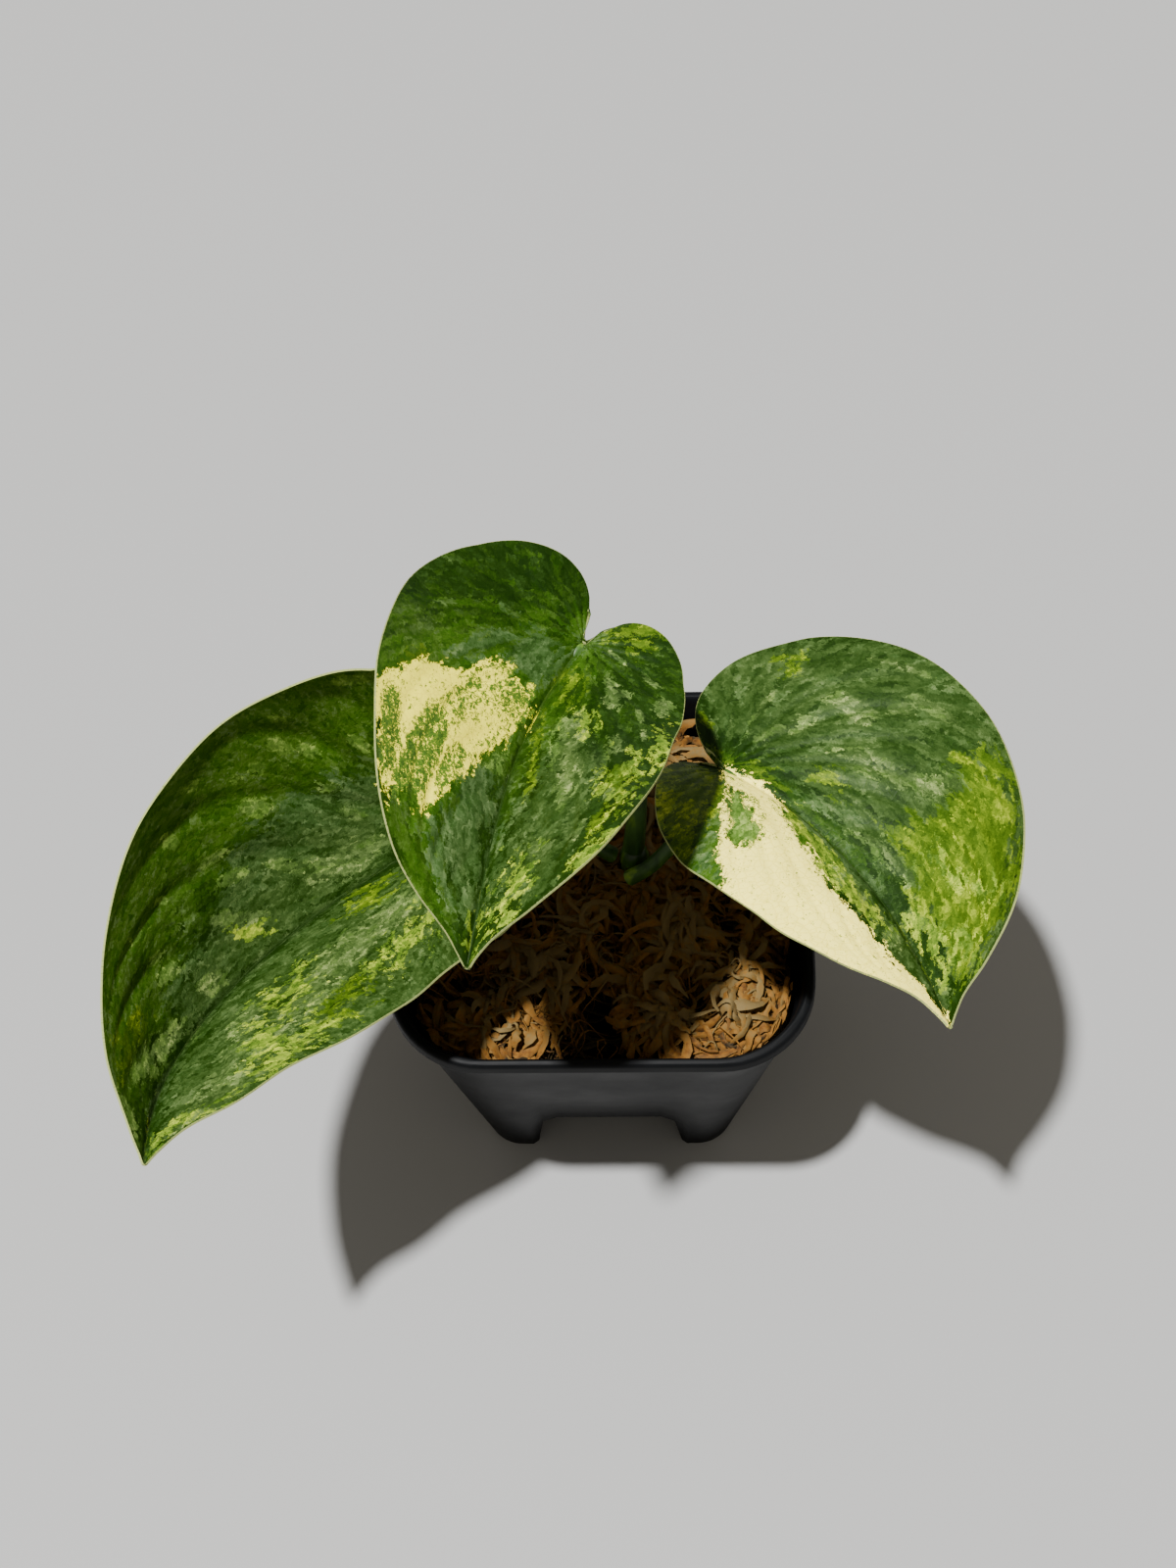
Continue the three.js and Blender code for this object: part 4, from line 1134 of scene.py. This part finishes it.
    # The middle leaf is the youngest and has the yellowest cream. Its slices lie between the others'.
    leaf = read_value(tree, "flat", "Z")
    cream = layer(linear("#fff070"), linear("#f3e83c"), leaf, 15.0, 20.0)
    cream = layer(cream, linear("#fff070"), leaf, 45.0, 50.0)
    cream = layer(cream, linear("#d9c840"), net, 0.1, 0.0, 0.45)
    # Small green specks break the cream up.
    specks = total((read_value(tree, "tones", "Z"), 1.0), (small[2], 0.14), (crumbs[2], 0.3), (streak, 0.5),
                   (fine, 0.9))
    green = tones(specks, 1.13, 1.5, ("#6e8026", "#4a6818", "#3c581e", "#28420e"))
    colour = patch(colour, layer(cream, green, specks, 1.12, 1.15), "marks", "X", 22.0, 1.1, 0.015)
    # A thin pale line runs along the blade's edge.
    edge = total((read_value(tree, "rims", "X"), 1.0), (fine, -0.3))
    colour = layer(colour, linear("#8a9258"), edge, -0.04, -0.14)
    return colour, streak, fine, net


@cache
def marbled_leaf():
    """A living leaf: smooth, waxy cuticle with a satin gloss over soft tissue."""
    material, tree, shader = new_material("waxy_marbled_leaf")
    colour, streak, fine, net = marbling(tree)
    groove = add(tree, "ShaderNodeMapRange", {0: net, 1: 0.0, 2: 0.12, 3: 0.0, 4: 1.0})
    height = add(tree, "ShaderNodeMath", {0: fine, 1: 0.5, 2: groove.outputs[0]}, operation="MULTIPLY_ADD")
    bump = add(tree, "ShaderNodeBump", {"Height": height.outputs[0], "Strength": 0.18, "Distance": 0.00012})
    gloss = add(tree, "ShaderNodeMapRange", {0: streak, 1: 0.3, 2: 0.7, 3: 0.42, 4: 0.54})
    fill(tree, shader, {"Base Color": colour, "Roughness": gloss.outputs[0], "Normal": bump.outputs["Normal"],
                        "IOR": 1.4, "Specular IOR Level": 0.1})
    return material


# Stem and stalks
STALK_SIDES = 20
STALK_GROOVE = 0.12
# The stalk runs on under the midrib: share of the blade's length, radius and depth below the blade.
RIB = ((0.05, 0.9, 1.2), (0.12, 0.72, 1.08), (0.3, 0.6, 0.95), (0.55, 0.48, 0.82), (0.8, 0.34, 0.68),
       (0.95, 0.18, 0.5))
# The stalk swells this much where it meets the blade.
SWELLING = 1.12
STEM_SIDES = 28
# Heights of the stem's knots, and how far they stand out.
KNOTS = (58, 68.5)
KNOT_RISE = 0.4


def curve_through(places, steps):
    """Points and directions along a smooth curve that passes the places, and each one's span."""
    places = np.asarray(places, float)
    ends = np.array([2 * places[0] - places[1], *places, 2 * places[-1] - places[-2]])
    gaps = np.maximum(np.linalg.norm(np.diff(ends, axis=0), axis=1), 1e-6) ** 0.5
    points, spans = [], []
    for k in range(len(places) - 1):
        p0, p1, p2, p3 = ends[k:k + 4]
        d0, d1, d2 = gaps[k:k + 3]
        m1 = ((p1 - p0) / d0 - (p2 - p0) / (d0 + d1) + (p2 - p1) / d1) * d1
        m2 = ((p2 - p1) / d1 - (p3 - p1) / (d1 + d2) + (p3 - p2) / d2) * d1
        last = k == len(places) - 2
        for i in range(steps + last):
            t = i / steps
            points.append((2 * t**3 - 3 * t**2 + 1) * p1 + (t**3 - 2 * t**2 + t) * m1
                          + (3 * t**2 - 2 * t**3) * p2 + (t**3 - t**2) * m2)
            spans.append(k + t)
    points = np.array(points)
    return points, np.gradient(points, axis=0), np.array(spans)


def tube_along(name, places, radii, steps):
    """A round, channelled stalk along a curve, with a radius for each place that it passes."""
    points, way, spans = curve_through(places, steps)
    way /= np.linalg.norm(way, axis=1)[:, None]
    radius = np.interp(spans, range(len(radii)), radii)
    # Any direction that isn't along the stalk sets its channel off.
    arm = np.cross(way[0], [0.3, 0.9, 0.1])
    rings = []
    turns = np.arange(STALK_SIDES) * 2 * math.pi / STALK_SIDES
    channel = 1 - STALK_GROOVE * np.exp(-((turns - math.pi) / 0.45) ** 2)
    for point, ahead, r in zip(points, way, radius):
        arm = arm - ahead * arm.dot(ahead)
        arm /= np.linalg.norm(arm)
        other = np.cross(ahead, arm)
        spokes = np.cos(turns)[:, None] * arm + np.sin(turns)[:, None] * other
        rings.append(point + spokes * (r * channel)[:, None])
    return closed_skin(name, rings)


def make_stalk(name):
    """A leaf's stalk: channelled, a little swollen under the blade, and running on as the raised midrib."""
    leaf = LEAVES[name]
    base, end = leaf["stalk_radius"]
    places = list(leaf["stalk"])
    radii = [mix(base, end, i / len(places)) for i in range(len(places))]
    for share, radius, depth in ((0.01, end * SWELLING, 1.0), *RIB):
        place, _, _, up = midrib(leaf, np.array([share * leaf["length"]]))
        places.append(tuple(place[0] - up[0] * depth))
        radii.append(radius)
    finish_piece(tube_along(name + "_stalk", places, radii, 10), green_stalk(), 60, name)


def make_stem():
    """The short vine: a knuckled stub with a ring at each place where a leaf left it."""
    heights = np.linspace(STEM_BOTTOM, STEM_TOP, 60)
    turns = np.arange(STEM_SIDES) * 2 * math.pi / STEM_SIDES
    rings = []
    for z in heights:
        share = (z - STEM_BOTTOM) / (STEM_TOP - STEM_BOTTOM)
        radius = STEM_RADIUS + sum(KNOT_RISE * math.exp(-((z - knot) ** 2)) for knot in KNOTS)
        radius *= 1 - 0.45 * smooth_step(STEM_TOP - 1.2, STEM_TOP + 0.4, z)
        reach = radius * (1 + 0.03 * np.sin(3 * turns + z * 0.3))
        middle = mix(STEM_FOOT, STEM_HEAD, share)
        rings.append(np.stack([middle[0] + reach * np.cos(turns), middle[1] + reach * np.sin(turns),
                               np.full_like(turns, z)], -1))
    finish_piece(closed_skin("vine_stem", rings), green_stalk(), 50, "stem")


@cache
def green_stalk():
    """A green aroid stalk: smooth satin skin, dark green with a few yellow-green stripes along it."""
    material, tree, shader = new_material("green_aroid_stalk")
    place = add(tree, "ShaderNodeTexCoord").outputs["Object"]
    tall = add(tree, "ShaderNodeMapping", {"Vector": place, "Scale": (1.0, 1.0, 0.12)})
    stripes = add(tree, "ShaderNodeTexNoise", {"Vector": tall.outputs[0], "Scale": 420.0, "Detail": 3.0})
    tone = add(tree, "ShaderNodeValToRGB", {"Fac": stripes.outputs["Fac"]},
               stops=[(0.35, "#1e3a10"), (0.55, "#35561a"), (0.68, "#6a8a24"), (0.8, "#a9b848")])
    bump = add(tree, "ShaderNodeBump",
               {"Height": stripes.outputs["Fac"], "Strength": 0.2, "Distance": 0.0002})
    fill(tree, shader, {"Base Color": tone.outputs["Color"], "Normal": bump.outputs["Normal"],
                        "Roughness": 0.42})
    return material


make_camera()
make_stage()
make_pot()
make_moss_bed()
make_loose_moss()
make_stem()
for number, name in enumerate(LEAVES):
    make_stalk(name)
    make_blade(name, number)
